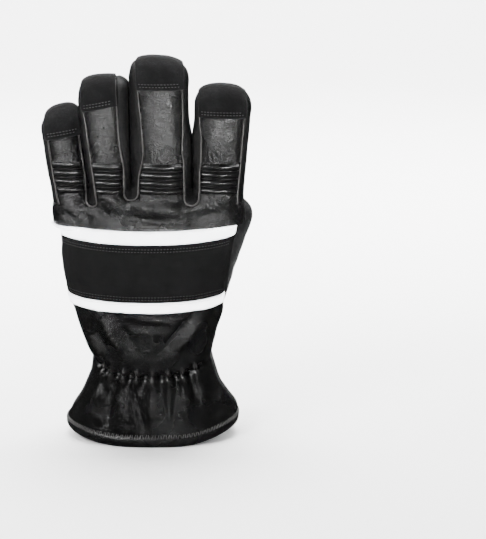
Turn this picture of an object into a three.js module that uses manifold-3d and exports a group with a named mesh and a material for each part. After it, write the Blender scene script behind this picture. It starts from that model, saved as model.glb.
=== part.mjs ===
// Structural firefighter glove for the left hand, standing on its open cuff.
// Back of the hand faces -Y, palm +Y, thumb side +X, fingers point up +Z. Millimetres.
import * as THREE from 'three';
import { mergeVertices } from 'three/addons/utils/BufferGeometryUtils.js';
import Module from 'manifold-3d';

const wasm = await Module();
wasm.setup();

// Driving dimensions
const wall = 3;
const gap = 0.3;
const hemHeight = 9;
const hemBulge = 1.4;
const hemRound = 2.2;
const cuffHeight = 52.5;
const handHeight = 127;
const webRise = 14;
const webDrop = 6;
const cuffWidth = 126;
const cuffDepth = 79;
const wristWidth = 88;
const wristDepth = 72;
const knuckleDepth = 63;
const handSquareness = 2.5;
const cuffSquareness = 2.15;
const hemRiseThumb = 9;
const hemRisePinky = 5;
const wristRise = 8;
const fingerLength = 106.5;
const fingerWidth = 41.8;
const fingerDepth = 39;
const fingerSquareness = 2.35;
const tipRound = 17;
const tipSquareness = 2.5;
const capLength = 22;
const capThickness = 1.2;
const padBottomRise = 10;
const padHeight = 23;
const padThickness = 1.2;
const ribHeight = 2.2;
const ribCount = 4;
const padSideInset = 1.2;
const bandThickness = 1.3;
const tapeThickness = 1.3;
const tapeWidth = 9.5;
const bandWidth = 43;
const bandRise = 59.5;
const trimSideInset = 5;
const patchThickness = 1.4;
const patchBottomRise = 56;
const patchHeight = 59;
const patchSideInset = 6;
const thumbLength = 111;
const thumbWidth = 35;
const thumbDepth = 28;
const thumbForward = THREE.MathUtils.degToRad(35.5);
const thumbOutward = THREE.MathUtils.degToRad(25.5);
const pleatCount = 9;
const pleatDepth = 1.7;
const seamInset = 2.6;

// Levels above the floor
const wristZ = cuffHeight;
const rootZ = wristZ + handHeight;
const webZ = rootZ + webRise;
const bandBottomZ = wristZ + bandRise;
const bandTopZ = bandBottomZ + bandWidth;
const patchBottomZ = wristZ + patchBottomRise;
const padBottomZ = rootZ + padBottomRise;
const padTopZ = padBottomZ + padHeight;

// One row per finger, from the little finger to the index. long, wide, thick: shares of
// fingerLength, fingerWidth and fingerDepth. rootWide: width at the root as a share of its width.
// rootBack, tipBack: its back surface at the root and tip, as shares of knuckleDepth. seamY: front
// edge of the leather on its side, likewise. rootGap, tipGap: space to the next finger at the roots
// and at the tips as shares of fingerWidth, below 0 where that finger leans over this shorter one.
// web: start of the web between them above the root line, as a share of webRise. slant: slope of
// the cap's edge.
const fingers = [
  { name: 'pinky', long: 0.657, wide: 0.689, thick: 0.846, rootWide: 0.97, rootBack: -0.6,
    tipBack: -0.34, seamY: -0.13, rootGap: 0.0215, tipGap: -0.0383, web: 0.14, slant: 0.18 },
  { name: 'ring', long: 0.869, wide: 0.892, thick: 0.923, rootWide: 0.74, rootBack: -0.68,
    tipBack: -0.48, seamY: -0.25, rootGap: 0.0263, tipGap: 0.0191, web: 0.5, slant: 0.2 },
  { name: 'middle', long: 1, wide: 1, thick: 1, rootWide: 1.0, rootBack: -0.68,
    tipBack: -0.62, seamY: -0.34, rootGap: 0.0383, tipGap: 0.0861, web: 0.25, slant: 0 },
  { name: 'index', long: 0.812, wide: 0.976, thick: 0.949, rootWide: 0.87, rootBack: -0.62,
    tipBack: -0.59, seamY: -0.35, rootGap: 0, tipGap: 0, web: 0, slant: -0.02 },
];

// Seams beside each back panel, as shares of the finger's half width: low is the little-finger
// side, high the thumb side. up is a share of the finger's length.
const seamRows = [
  { up: 0.00, pinky: [-0.62, 0.8], ring: [-0.85, 0.88], middle: [-0.8, 0.85], index: [-0.81, 0.89] },
  { up: 0.20, pinky: [-0.73, 0.8], ring: [-0.9, 0.8], middle: [-0.75, 0.92], index: [-0.8, 0.92] },
  { up: 0.38, pinky: [-0.7, 0.75], ring: [-0.85, 0.67], middle: [-0.57, 0.75], index: [-0.73, 0.8] },
  { up: 0.55, pinky: [-0.68, 0.75], ring: [-0.87, 0.57], middle: [-0.6, 0.8], index: [-0.72, 0.84] },
  { up: 0.75, pinky: [-0.76, 0.75], ring: [-0.8, 0.55], middle: [-0.7, 0.86], index: [-0.8, 0.88] },
  { up: 1.00, pinky: [-0.78, 0.75], ring: [-0.78, 0.5], middle: [-0.76, 0.9], index: [-0.86, 0.92] },
];

// Width and depth of the hand above the wrist. wide: 0 is the wrist's width, 1 the finger roots';
// deep: 0 is the wrist's depth, 1 the knuckles'. midX, midY: middle, as shares of wristWidth and
// wristDepth. gather: strength of the wrist pleats. lined: the row also shapes the inside.
const handRows = [
  { up: 0.0, wide: 0.00, deep: 0.00, midX: -0.006, midY: 0.04, gather: 1.0, lined: true },
  { up: 0.035, wide: 0.03, deep: -0.1, midX: -0.009, midY: 0.033, gather: 0.6 },
  { up: 0.075, wide: 0.09, deep: -0.17, midX: -0.017, midY: 0.026, gather: 0.15, lined: true },
  { up: 0.130, wide: 0.16, deep: -0.2, midX: -0.023, midY: 0.013, gather: 0.0 },
  { up: 0.200, wide: 0.25, deep: -0.2, midX: -0.028, midY: 0.0, gather: 0.0, lined: true },
  { up: 0.330, wide: 0.42, deep: -0.2, midX: -0.025, midY: -0.039, gather: 0.0 },
  { up: 0.457, wide: 0.52, deep: -0.2, midX: -0.037, midY: -0.073, gather: 0.0, lined: true },
  { up: 0.646, wide: 0.66, deep: -0.05, midX: -0.037, midY: -0.123, gather: 0.0 },
  { up: 0.819, wide: 0.75, deep: 0.30, midX: -0.017, midY: -0.153, gather: 0.0, lined: true },
  { up: 0.950, wide: 0.95, deep: 0.92, midX: -0.010, midY: -0.166, gather: 0.0, lined: true },
];

// The cuff below the wrist. wide, deep: 0 is the wrist, 1 the hem. midX, midY as above.
// pleat: strength of the cuff's soft pleats.
const cuffRows = [
  { up: 0.00, wide: 0.97, deep: 1.00, midX: 0.0, midY: -0.007, pleat: 0.0 },
  { up: 0.14, wide: 1.05, deep: 1.02, midX: -0.006, midY: 0.0, pleat: 0.15 },
  { up: 0.27, wide: 0.93, deep: 1.02, midX: 0.004, midY: 0.011, pleat: 0.35 },
  { up: 0.42, wide: 0.63, deep: 1.0, midX: 0.004, midY: 0.026, pleat: 0.7 },
  { up: 0.60, wide: 0.33, deep: 0.86, midX: -0.007, midY: 0.041, pleat: 0.9 },
  { up: 0.80, wide: 0.13, deep: 0.6, midX: 0.0, midY: 0.053, pleat: 1.1 },
  { up: 1.00, wide: 0.00, deep: 0.0, midX: -0.006, midY: 0.04, pleat: 1.0 },
];

// Raised diagonal folds on the back, between the wrist and the lower tape. fromX, toX: shares of
// half the wrist's width. fromUp, toUp: shares of handHeight. reach: share of foldReach, and
// height: share of foldHeight.
const foldReach = 7;
const foldHeight = 2.4;
const foldRows = [
  { fromX: -0.82, fromUp: 0.38, toX: -0.42, toUp: 0.15, reach: 1, height: 1 },
  { fromX: 0.88, fromUp: 0.38, toX: 0.36, toUp: 0.16, reach: 1, height: 1 },
  { fromX: -1.02, fromUp: 0.26, toX: -0.76, toUp: 0.12, reach: 0.7, height: 0.62 },
];

// Leather's front edge down the side of the hand and cuff: share of knuckleDepth at a height.
const sideSeamRows = [
  { z: 0, midY: 0.0 },
  { z: wristZ, midY: -0.08 },
  { z: wristZ + 0.35 * handHeight, midY: -0.14 },
  { z: rootZ - webDrop, midY: -0.25 },
];

// Thumb sections along its axis. wide, deep: shares of thumbWidth and thumbDepth.
const thumbRows = [
  { along: 0.00, wide: 1.22, deep: 1.9 },
  { along: 0.25, wide: 1.14, deep: 1.6 },
  { along: 0.50, wide: 1.02, deep: 1.2 },
  { along: 0.70, wide: 0.95, deep: 0.9 },
  { along: 0.85, wide: 0.88, deep: 0.73 },
  { along: 0.92, wide: 0.80, deep: 0.64 },
  { along: 0.97, wide: 0.6, deep: 0.46 },
  { along: 1.00, wide: 0.26, deep: 0.2 },
];

// Resolution of the facets: more of a ring's points lie on the back, where the folds are
const handSides = 40;
const fingerSides = 14;
const thumbSides = 14;
const innerSides = 18;
const innerFingerSides = 8;
const backShare = 0.64;
const evenShare = 0.5;
const edgeFace = 1.5 * wall;
const tipShares = [0.45, 0.72, 0.9, 0.985];
const innerTipShares = [0.55, 0.85, 0.98];
const webShares = [0.4, 0.7, 0.88, 0.98];
const innerWebShares = [0.5, 0.85, 0.98];
const lengthShares = [0, 0.32, 0.55, 0.78, 1];
const innerLengthShares = [0, 0.5, 1];
const bendShares = [0.25, 0.5, 0.75];

// A value of a table's column at a place between its rows
function column(rows, key, at, value) {
  let low = rows[0];
  for (const row of rows) {
    if (row[key] > at) {
      const share = (at - low[key]) / Math.max(row[key] - low[key], 1e-9);
      return THREE.MathUtils.lerp(value(low), value(row), THREE.MathUtils.clamp(share, 0, 1));
    }
    low = row;
  }
  return value(low);
}

function smooth(value, from, to) {
  return THREE.MathUtils.smoothstep(value, from, to);
}

// Middle positions of the fingers, set side by side across the hand at one level
function sideBySide(widths, spaces) {
  const total = widths.reduce((sum, width) => sum + width, 0) + spaces.reduce((sum, s) => sum + s, 0);
  let edge = -total / 2;
  const middles = widths.map((width, index) => {
    const middle = edge + width / 2;
    edge += width + spaces[index];
    return middle;
  });
  return { middles, total };
}

fingers.forEach((finger) => {
  finger.length = finger.long * fingerLength;
  finger.width = finger.wide * fingerWidth;
  finger.depth = finger.thick * fingerDepth;
});
const rootShift = -0.0225;
const tipShift = -0.0574;
const rootRow = sideBySide(fingers.map((finger) => finger.width * finger.rootWide),
  fingers.map((finger) => finger.rootGap * fingerWidth));
const tipRow = sideBySide(fingers.map((finger) => finger.width),
  fingers.map((finger) => finger.tipGap * fingerWidth));
fingers.forEach((finger, index) => {
  finger.rootX = rootRow.middles[index] + rootShift * fingerWidth;
  finger.tipX = tipRow.middles[index] + tipShift * fingerWidth;
  finger.tipZ = rootZ + finger.length;
});
const rootWidth = rootRow.total;

// A finger's middle and half sizes at a height, before the tip is rounded
const rootDeepening = 1.3;
function fingerAt(finger, z) {
  const up = THREE.MathUtils.clamp((z - rootZ) / finger.length, 0, 1);
  const spread = Math.min(up / 0.8, 1);
  const halfDepth = 0.5 * finger.depth * THREE.MathUtils.lerp(rootDeepening, 1, smooth(up, 0, 0.4));
  return {
    x: THREE.MathUtils.lerp(finger.rootX, finger.tipX, spread),
    y: knuckleDepth * THREE.MathUtils.lerp(finger.rootBack, finger.tipBack, up) + halfDepth,
    halfWidth: 0.5 * finger.width * THREE.MathUtils.lerp(finger.rootWide, 1, spread),
    halfDepth,
  };
}

// One closed ring of points, a rounded rectangle between an ellipse and a box. onBack: share of
// the points on the side of the back.
function ring(sides, x, y, z, halfWidth, halfDepth, squareness, onBack = evenShare) {
  const points = [];
  const frontSides = Math.round(sides * (1 - onBack));
  for (let side = 0; side < sides; side += 1) {
    const angle = side < frontSides ? (Math.PI * side) / frontSides
      : Math.PI + (Math.PI * (side - frontSides)) / (sides - frontSides);
    const c = Math.cos(angle);
    const s = Math.sin(angle);
    const px = x + halfWidth * Math.sign(c) * Math.abs(c) ** (2 / squareness);
    const py = y + halfDepth * Math.sign(s) * Math.abs(s) ** (2 / squareness);
    points.push(new THREE.Vector3(px, py, z));
  }
  return points;
}

// A closed solid through rings of equally many points, first ring lowest
function loft(rings) {
  const sides = rings[0].length;
  const positions = [];
  const index = [];
  for (const points of rings) {
    for (const point of points) positions.push(point.x, point.y, point.z);
  }
  for (let row = 0; row + 1 < rings.length; row += 1) {
    for (let side = 0; side < sides; side += 1) {
      const a = row * sides + side;
      const b = row * sides + ((side + 1) % sides);
      index.push(a, b, b + sides, a, b + sides, a + sides);
    }
  }
  const ends = [rings[0], rings[rings.length - 1]];
  ends.forEach((points, end) => {
    const middle = points.reduce((sum, point) => sum.add(point), new THREE.Vector3());
    middle.divideScalar(sides);
    const tip = positions.length / 3;
    positions.push(middle.x, middle.y, middle.z);
    const first = end === 0 ? 0 : (rings.length - 1) * sides;
    for (let side = 0; side < sides; side += 1) {
      const a = first + side;
      const b = first + ((side + 1) % sides);
      if (end === 0) index.push(b, a, tip);
      else index.push(a, b, tip);
    }
  });
  const geometry = new THREE.BufferGeometry();
  geometry.setAttribute('position', new THREE.Float32BufferAttribute(positions, 3));
  geometry.setIndex(index);
  return solid(geometry);
}

// A closed geometry as a solid that can be joined and cut
function solid(geometry) {
  const plain = geometry.clone();
  plain.deleteAttribute('normal');
  plain.deleteAttribute('uv');
  const merged = mergeVertices(plain, 1e-5);
  const mesh = new wasm.Mesh({
    numProp: 3,
    vertProperties: new Float32Array(merged.attributes.position.array),
    triVerts: new Uint32Array(merged.index.array),
  });
  return new wasm.Manifold(mesh);
}

// A solid as a geometry
function shape(body) {
  const mesh = body.getMesh();
  const geometry = new THREE.BufferGeometry();
  geometry.setAttribute('position', new THREE.BufferAttribute(new Float32Array(mesh.vertProperties), 3));
  geometry.setIndex(new THREE.BufferAttribute(new Uint32Array(mesh.triVerts), 1));
  geometry.computeVertexNormals();
  return geometry;
}

// Outline points [x, z] pushed through the whole depth of the glove, along Y
const throughDepth = 400;
function prism(outline) {
  const drawn = new THREE.Shape(outline.map(([x, z]) => new THREE.Vector2(x, z)));
  const geometry = new THREE.ExtrudeGeometry(drawn, { depth: throughDepth, bevelEnabled: false });
  geometry.rotateX(Math.PI / 2);
  geometry.translate(0, throughDepth / 2, 0);
  return solid(geometry);
}

// How far a place on the back is raised by the diagonal folds
function foldLift(x, z) {
  let lift = 0;
  for (const fold of foldRows) {
    const from = new THREE.Vector2(fold.fromX * 0.5 * wristWidth, wristZ + fold.fromUp * handHeight);
    const to = new THREE.Vector2(fold.toX * 0.5 * wristWidth, wristZ + fold.toUp * handHeight);
    const line = to.clone().sub(from);
    const share = THREE.MathUtils.clamp(
      new THREE.Vector2(x, z).sub(from).dot(line) / line.lengthSq(), 0, 1);
    const away = from.clone().addScaledVector(line, share).distanceTo(new THREE.Vector2(x, z));
    lift += foldHeight * fold.height * Math.sin(Math.PI * THREE.MathUtils.clamp(share, 0.15, 0.85))
      * Math.exp(-((away / (foldReach * fold.reach)) ** 2) * 2);
  }
  return lift;
}

// The pleats of the wrist gather, a wave across the back that dies out at the sides
function pleatLift(x, halfWidth, strength) {
  const across = x / (0.86 * halfWidth);
  if (Math.abs(across) > 1) return 0;
  return pleatDepth * strength * Math.cos(Math.PI * pleatCount * across) * Math.cos(0.5 * Math.PI * across);
}

// How far the cuff's sides curve up from its flat front and back
const flatShare = 0.34;
const riseCurve = 1.6;
function sideRise(across, halfWidth, z) {
  const outward = Math.min(Math.abs(across) / halfWidth, 1);
  const curve = (Math.max(outward - flatShare, 0) / (1 - flatShare)) ** riseCurve;
  const hemRise = across > 0 ? hemRiseThumb : hemRisePinky;
  const level = THREE.MathUtils.clamp(z / wristZ, 0, 1);
  const fade = 1 - smooth(z, wristZ, wristZ + 0.4 * handHeight);
  return curve * fade * THREE.MathUtils.lerp(hemRise, wristRise, level);
}

// Raises a ring's points on the back, away from the middle, and curves its sides up
function settle(points, middle, halfWidth, lift) {
  for (const point of points) {
    const across = point.x - middle.x;
    const onBack = point.y < middle.y;
    if (onBack) {
      point.y -= lift(across, point.z) * smooth(halfWidth - Math.abs(across), 0, 0.25 * halfWidth);
    }
    point.z += sideRise(across, halfWidth, point.z);
  }
  return points;
}

function handRing(row, grow, sides) {
  const halfWidth = 0.5 * (wristWidth + row.wide * (rootWidth - wristWidth)) + grow;
  const halfDepth = 0.5 * (wristDepth + row.deep * (knuckleDepth - wristDepth)) + grow;
  const middle = { x: row.midX * wristWidth, y: row.midY * wristDepth };
  const z = row.z ?? wristZ + row.up * handHeight;
  const points = ring(sides, middle.x, middle.y, z, halfWidth, halfDepth, handSquareness, backShare);
  return settle(points, middle, halfWidth, (x, height) => (grow < 0 ? 0
    : pleatLift(x, halfWidth, row.gather) + foldLift(x + middle.x, height)));
}

// The hand without its fingers, closed by a rounded web line at the top. grow moves its surface.
const webNarrowing = 0.86;
function handBody(grow, sides, startZ) {
  const rows = handRows.slice(1).filter((row) => grow >= 0 || row.lined);
  const rings = rows.map((row) => handRing(row, grow, sides));
  const foot = { ...handRows[0], z: startZ };
  rings.unshift(handRing(foot, grow - edgeFace, sides), handRing(foot, grow, sides));
  const last = handRows[handRows.length - 1];
  const lastZ = wristZ + last.up * handHeight;
  for (const share of grow < 0 ? innerWebShares : webShares) {
    const narrow = (1 - share ** tipSquareness) ** (1 / tipSquareness);
    const z = lastZ + share * (webZ + grow - lastZ);
    const halfWidth = 0.5 * (wristWidth + last.wide * (rootWidth - wristWidth)) + grow;
    const halfDepth = 0.5 * (wristDepth + last.deep * (knuckleDepth - wristDepth)) + grow;
    rings.push(ring(sides, last.midX * wristWidth, last.midY * wristDepth, z,
      halfWidth * THREE.MathUtils.lerp(webNarrowing, 1, narrow), halfDepth * narrow, handSquareness,
      backShare));
  }
  return loft(rings);
}

// One finger from inside the hand to its rounded tip
function fingerBody(finger, grow, sides) {
  const rings = [];
  const topZ = finger.tipZ + grow;
  const roundStart = topZ - tipRound;
  for (const share of grow < 0 ? innerLengthShares : lengthShares) {
    const z = THREE.MathUtils.lerp(rootZ - 2 * webDrop, roundStart, share);
    const at = fingerAt(finger, z);
    rings.push(ring(sides, at.x, at.y, z, at.halfWidth + grow, at.halfDepth + grow, fingerSquareness));
  }
  for (const share of grow < 0 ? innerTipShares : tipShares) {
    const z = roundStart + share * tipRound;
    const at = fingerAt(finger, z);
    const narrow = (1 - share ** tipSquareness) ** (1 / tipSquareness);
    rings.push(ring(sides, at.x, at.y, z, (at.halfWidth + grow) * narrow, (at.halfDepth + grow) * narrow,
      fingerSquareness));
  }
  return loft(rings);
}

// The thumb, leaning forward out of the palm
const thumbRoot = new THREE.Vector3(0.177 * rootWidth, 0.206 * knuckleDepth, wristZ + 0.228 * handHeight);
const thumbAxis = new THREE.Vector3(Math.tan(thumbOutward), Math.tan(thumbForward), 1).normalize();
const thumbAcross = new THREE.Vector3(1, 0, 0).projectOnPlane(thumbAxis).normalize();
const thumbThrough = new THREE.Vector3().crossVectors(thumbAxis, thumbAcross);

function thumbBody(grow, sides) {
  const rings = thumbRows.map((row) => {
    const reach = row.along * (thumbLength + grow);
    const middle = thumbRoot.clone().addScaledVector(thumbAxis, reach);
    const flat = ring(sides, 0, 0, 0, 0.5 * thumbWidth * row.wide + grow,
      0.5 * thumbDepth * row.deep + grow, fingerSquareness);
    return flat.map((point) => middle.clone()
      .addScaledVector(thumbAcross, point.x)
      .addScaledVector(thumbThrough, point.y));
  });
  return loft(rings);
}

function cuffRing(row, grow, sides, z) {
  const halfWidth = 0.5 * (wristWidth + row.wide * (cuffWidth - wristWidth)) + grow;
  const halfDepth = 0.5 * (wristDepth + row.deep * (cuffDepth - wristDepth)) + grow;
  const middle = { x: row.midX * wristWidth, y: row.midY * wristDepth };
  const squareness = THREE.MathUtils.lerp(cuffSquareness, handSquareness, Math.min(z / wristZ, 1));
  const points = ring(sides, middle.x, middle.y, z, halfWidth, halfDepth, squareness, backShare);
  return settle(points, middle, halfWidth, (x) => (grow < 0 ? 0 : pleatLift(x, halfWidth, row.pleat)));
}

// A row of the cuff's table at any height
function cuffRowAt(z) {
  const up = THREE.MathUtils.clamp(z / cuffHeight, 0, 1);
  const at = (key) => column(cuffRows, 'up', up, (row) => row[key]);
  return { wide: at('wide'), deep: at('deep'), midX: at('midX'), midY: at('midY'), pleat: at('pleat') };
}

function cuffBody(grow, sides, lowZ, highZ) {
  const between = cuffRows.map((row) => row.up * cuffHeight)
    .filter((z) => z > hemHeight + gap && z < cuffHeight - gap);
  const heights = [lowZ, ...between, highZ];
  const rings = heights.map((z) => cuffRing(cuffRowAt(z), grow, sides, z));
  rings.unshift(cuffRing(cuffRowAt(lowZ), grow - edgeFace, sides, lowZ));
  rings.push(cuffRing(cuffRowAt(highZ), grow - edgeFace, sides, highZ));
  return loft(rings);
}

function handForm(grow, sides, fingerSideCount, startZ) {
  let form = handBody(grow, sides, startZ);
  for (const finger of fingers) form = form.add(fingerBody(finger, grow, fingerSideCount));
  return form;
}

// Where the leather of the back meets the suede of the palm, at any x and z
function splitY(x, z) {
  const sideY = knuckleDepth * column(sideSeamRows, 'z', z, (row) => row.midY);
  const fingerY = knuckleDepth * column(fingers, 'tipX', x, (finger) => finger.seamY);
  return THREE.MathUtils.lerp(sideY, fingerY, smooth(z, rootZ - webDrop, rootZ + webRise));
}

// Everything in front of (palmSide 1) or behind (palmSide -1) the line between palm and back
const acrossX = [-0.5 * throughDepth, ...fingers.map((finger) => finger.tipX), 0.5 * throughDepth];
const upZ = [-wristZ, ...sideSeamRows.slice(1).map((row) => row.z), rootZ, rootZ + 0.5 * webRise, webZ,
  throughDepth];
function halfSpace(palmSide, inset) {
  const farY = palmSide * 0.5 * throughDepth;
  const positions = [];
  const index = [];
  for (const far of [false, true]) {
    for (const z of upZ) {
      for (const x of acrossX) positions.push(x, far ? farY : splitY(x, z) + palmSide * inset, z);
    }
  }
  const columns = acrossX.length;
  const layer = columns * upZ.length;
  const quad = (a, b, c, d) => {
    if (palmSide > 0) index.push(a, b, c, a, c, d);
    else index.push(a, c, b, a, d, c);
  };
  for (let row = 0; row + 1 < upZ.length; row += 1) {
    for (let side = 0; side + 1 < columns; side += 1) {
      const a = row * columns + side;
      quad(a, a + 1, a + 1 + columns, a + columns);
      quad(a + layer, a + layer + columns, a + layer + columns + 1, a + layer + 1);
    }
    const left = row * columns;
    const right = left + columns - 1;
    quad(left, left + columns, left + columns + layer, left + layer);
    quad(right, right + layer, right + layer + columns, right + columns);
  }
  const top = (upZ.length - 1) * columns;
  for (let side = 0; side + 1 < columns; side += 1) {
    quad(side, side + layer, side + layer + 1, side + 1);
    quad(top + side, top + side + 1, top + side + 1 + layer, top + side + layer);
  }
  const geometry = new THREE.BufferGeometry();
  geometry.setAttribute('position', new THREE.Float32BufferAttribute(positions, 3));
  geometry.setIndex(index);
  return solid(geometry);
}

// x of a finger's seam at a height: side 0 is the little-finger side, 1 the thumb side
function seamX(finger, side, z, inset) {
  const at = fingerAt(finger, z);
  const up = THREE.MathUtils.clamp((z - rootZ) / finger.length, 0, 1);
  const share = Math.abs(column(seamRows, 'up', up, (row) => row[finger.name][side]));
  const away = Math.min(share * at.halfWidth, at.halfWidth - wall - seamInset) - inset;
  return at.x + (side === 0 ? -away : away);
}

const aboveAll = 330;
function seamLine(finger, side, lowZ, inset) {
  const line = [];
  for (const row of seamRows) {
    const z = rootZ + row.up * finger.length;
    if (z > lowZ + gap) line.push([seamX(finger, side, z, inset), z]);
  }
  line.unshift([seamX(finger, side, lowZ, inset), lowZ]);
  line.push([seamX(finger, side, finger.tipZ, inset), aboveAll]);
  return line;
}

// The strip between two fingers: down one finger's side, round the web, up the next one's
const bendDrop = 3;
function betweenFingers(index, inset) {
  const left = fingers[index];
  const right = fingers[index + 1];
  const lowZ = rootZ + left.web * webRise;
  const leftLine = seamLine(left, 1, lowZ + bendDrop, -inset);
  const rightLine = seamLine(right, 0, lowZ + bendDrop, -inset);
  const leftFoot = leftLine[0][0];
  const rightFoot = rightLine[0][0];
  const bend = [];
  for (const share of bendShares) {
    const x = (leftFoot + rightFoot) / 2 - 0.5 * (rightFoot - leftFoot) * Math.cos(Math.PI * share);
    bend.push([x, lowZ + bendDrop - (bendDrop - inset) * Math.sin(Math.PI * share)]);
  }
  return prism([...leftLine.reverse(), ...bend, ...rightLine]);
}

// The leather strip down the outer side of the index and little fingers
const stripFoot = 0.14;
function outerStrip(finger, side, inset) {
  const away = side === 0 ? -0.5 * throughDepth : 0.5 * throughDepth;
  const lowZ = rootZ + stripFoot * webRise + inset;
  const line = seamLine(finger, side, lowZ, -inset);
  return prism([[away, lowZ], ...line, [away, aboveAll]]);
}

// What lies on a finger's back panel between two heights
function onBackPanel(finger, lowZ, highZ, inset, slant) {
  const low = [];
  const high = [];
  const steps = 5;
  for (let step = 0; step <= steps; step += 1) {
    const z = THREE.MathUtils.lerp(lowZ, highZ, step / steps);
    low.push([seamX(finger, 0, z, inset), z]);
    high.unshift([seamX(finger, 1, z, inset), z]);
  }
  const middle = fingerAt(finger, lowZ).x;
  low[0][1] += slant * (low[0][0] - middle);
  high[steps][1] += slant * (high[steps][0] - middle);
  return prism([...high, ...low]);
}

function slab(lowZ, highZ) {
  const far = 0.5 * throughDepth;
  return prism([[-far, lowZ], [far, lowZ], [far, highZ], [-far, highZ]]);
}

// Shells
const handOuter = handForm(0, handSides, fingerSides, wristZ + gap / 2);
const handInner = handForm(-wall, innerSides, innerFingerSides, wristZ - hemHeight);
const thumbOuter = thumbBody(0, thumbSides);
const thumbInner = thumbBody(-wall, innerFingerSides);
const handShell = handOuter.subtract(handInner).subtract(thumbInner);
const inFront = halfSpace(1, gap / 2);
const behind = halfSpace(-1, gap / 2);

let betweenAll = betweenFingers(0, -gap / 2);
for (const index of [1, 2]) betweenAll = betweenAll.add(betweenFingers(index, -gap / 2));
const pinky = fingers[0];
const indexFinger = fingers[3];
const stripsAll = outerStrip(pinky, 0, -gap / 2).add(outerStrip(indexFinger, 1, -gap / 2));

const handPalm = handShell.intersect(inFront).subtract(betweenAll);
const handBack = handShell.intersect(behind).subtract(betweenAll).subtract(stripsAll);

const thumbShell = thumbOuter.subtract(thumbInner).subtract(handForm(gap, handSides, fingerSides, wristZ));
function thumbHalf(side) {
  const box = new THREE.BoxGeometry(throughDepth, throughDepth, throughDepth);
  box.translate(0.5 * side * (throughDepth + gap), 0, 0);
  const turn = new THREE.Matrix4().makeBasis(thumbAcross, thumbThrough, thumbAxis);
  turn.setPosition(thumbRoot);
  box.applyMatrix4(turn);
  return thumbShell.intersect(solid(box));
}

const cuffLowZ = hemHeight + gap;
const cuffShell = cuffBody(0, handSides, cuffLowZ, wristZ - gap / 2)
  .subtract(cuffBody(-wall, innerSides, cuffLowZ - wall, wristZ + wall));

// The rolled hem: a band with rounded edges that stands on its flat lower face
function hemBinding() {
  const inside = -1.13 * wall;
  const section = [
    { out: inside, z: hemRound },
    { out: -wall + hemRound * 0.4, z: 0 },
    { out: hemBulge - hemRound * 0.8, z: 0 },
    { out: hemBulge, z: hemRound },
    { out: hemBulge, z: hemHeight * 0.6 },
    { out: 0, z: hemHeight },
    { out: inside, z: hemHeight },
  ];
  const rings = section.map((corner) => cuffRing(cuffRowAt(corner.z), corner.out, handSides, corner.z));
  const positions = [];
  const index = [];
  for (const points of rings) {
    for (const point of points) positions.push(point.x, point.y, point.z);
  }
  for (let row = 0; row < rings.length; row += 1) {
    const next = (row + 1) % rings.length;
    for (let side = 0; side < handSides; side += 1) {
      const a = row * handSides + side;
      const b = row * handSides + ((side + 1) % handSides);
      const c = next * handSides + ((side + 1) % handSides);
      const d = next * handSides + side;
      index.push(a, b, c, a, c, d);
    }
  }
  const geometry = new THREE.BufferGeometry();
  geometry.setAttribute('position', new THREE.Float32BufferAttribute(positions, 3));
  geometry.setIndex(index);
  return solid(geometry);
}

// Flat trim laid on the hand, between two heights
const bareHand = handBody(gap, handSides, wristZ);
const trimBehind = halfSpace(-1, trimSideInset);
function trim(lowZ, highZ, thickness) {
  return handBody(gap + thickness, handSides, wristZ).subtract(bareHand)
    .intersect(slab(lowZ, highZ)).intersect(trimBehind);
}

const palmPatch = handBody(gap + patchThickness, handSides, wristZ).subtract(bareHand)
  .intersect(slab(patchBottomZ, patchBottomZ + patchHeight))
  .intersect(halfSpace(1, patchSideInset))
  .subtract(thumbBody(gap, thumbSides));

// Thick suede cap over the back of a fingertip
function fingertipCap(finger) {
  const lowZ = finger.tipZ - capLength;
  return fingerBody(finger, gap + capThickness, fingerSides)
    .subtract(fingerBody(finger, gap, fingerSides))
    .intersect(onBackPanel(finger, lowZ, aboveAll, gap / 2, finger.slant))
    .intersect(halfSpace(-1, gap));
}

// Ribbed pad over a finger's lower joint
function knuckleRibs(finger) {
  const stepsPerRib = 4;
  const steps = ribCount * stepsPerRib;
  const rings = [];
  for (let step = -1; step <= steps + 1; step += 1) {
    const z = padBottomZ + (padHeight * step) / steps;
    const at = fingerAt(finger, z);
    const wave = 0.5 - 0.5 * Math.cos((2 * Math.PI * step) / stepsPerRib);
    const grow = gap + padThickness + ribHeight * (step < 0 || step > steps ? 0 : wave);
    rings.push(ring(fingerSides, at.x, at.y, z, at.halfWidth + grow, at.halfDepth + grow,
      fingerSquareness));
  }
  return loft(rings)
    .subtract(fingerBody(finger, gap, fingerSides))
    .intersect(onBackPanel(finger, padBottomZ, padTopZ, padSideInset, 0))
    .intersect(halfSpace(-1, gap));
}

// Finishes
const leather = { color: 0x141416, roughness: 0.42, metalness: 0 };
const suede = { color: 0x242527, roughness: 0.95, metalness: 0 };
const darkSuede = { color: 0x1c1d1f, roughness: 0.95, metalness: 0 };
const bandCloth = { color: 0x17181a, roughness: 0.85, metalness: 0 };
const tapeFinish = { color: 0xe9eaec, roughness: 0.4, metalness: 0 };
const bindingFinish = { color: 0x0f0f11, roughness: 0.5, metalness: 0 };
const ribLeather = { color: 0x121214, roughness: 0.35, metalness: 0 };

const glove = new THREE.Group();
glove.name = 'firefighter_glove';

function addPiece(name, body, finish) {
  const mesh = new THREE.Mesh(shape(body), new THREE.MeshStandardMaterial({ ...finish }));
  mesh.name = name;
  glove.add(mesh);
}

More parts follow.
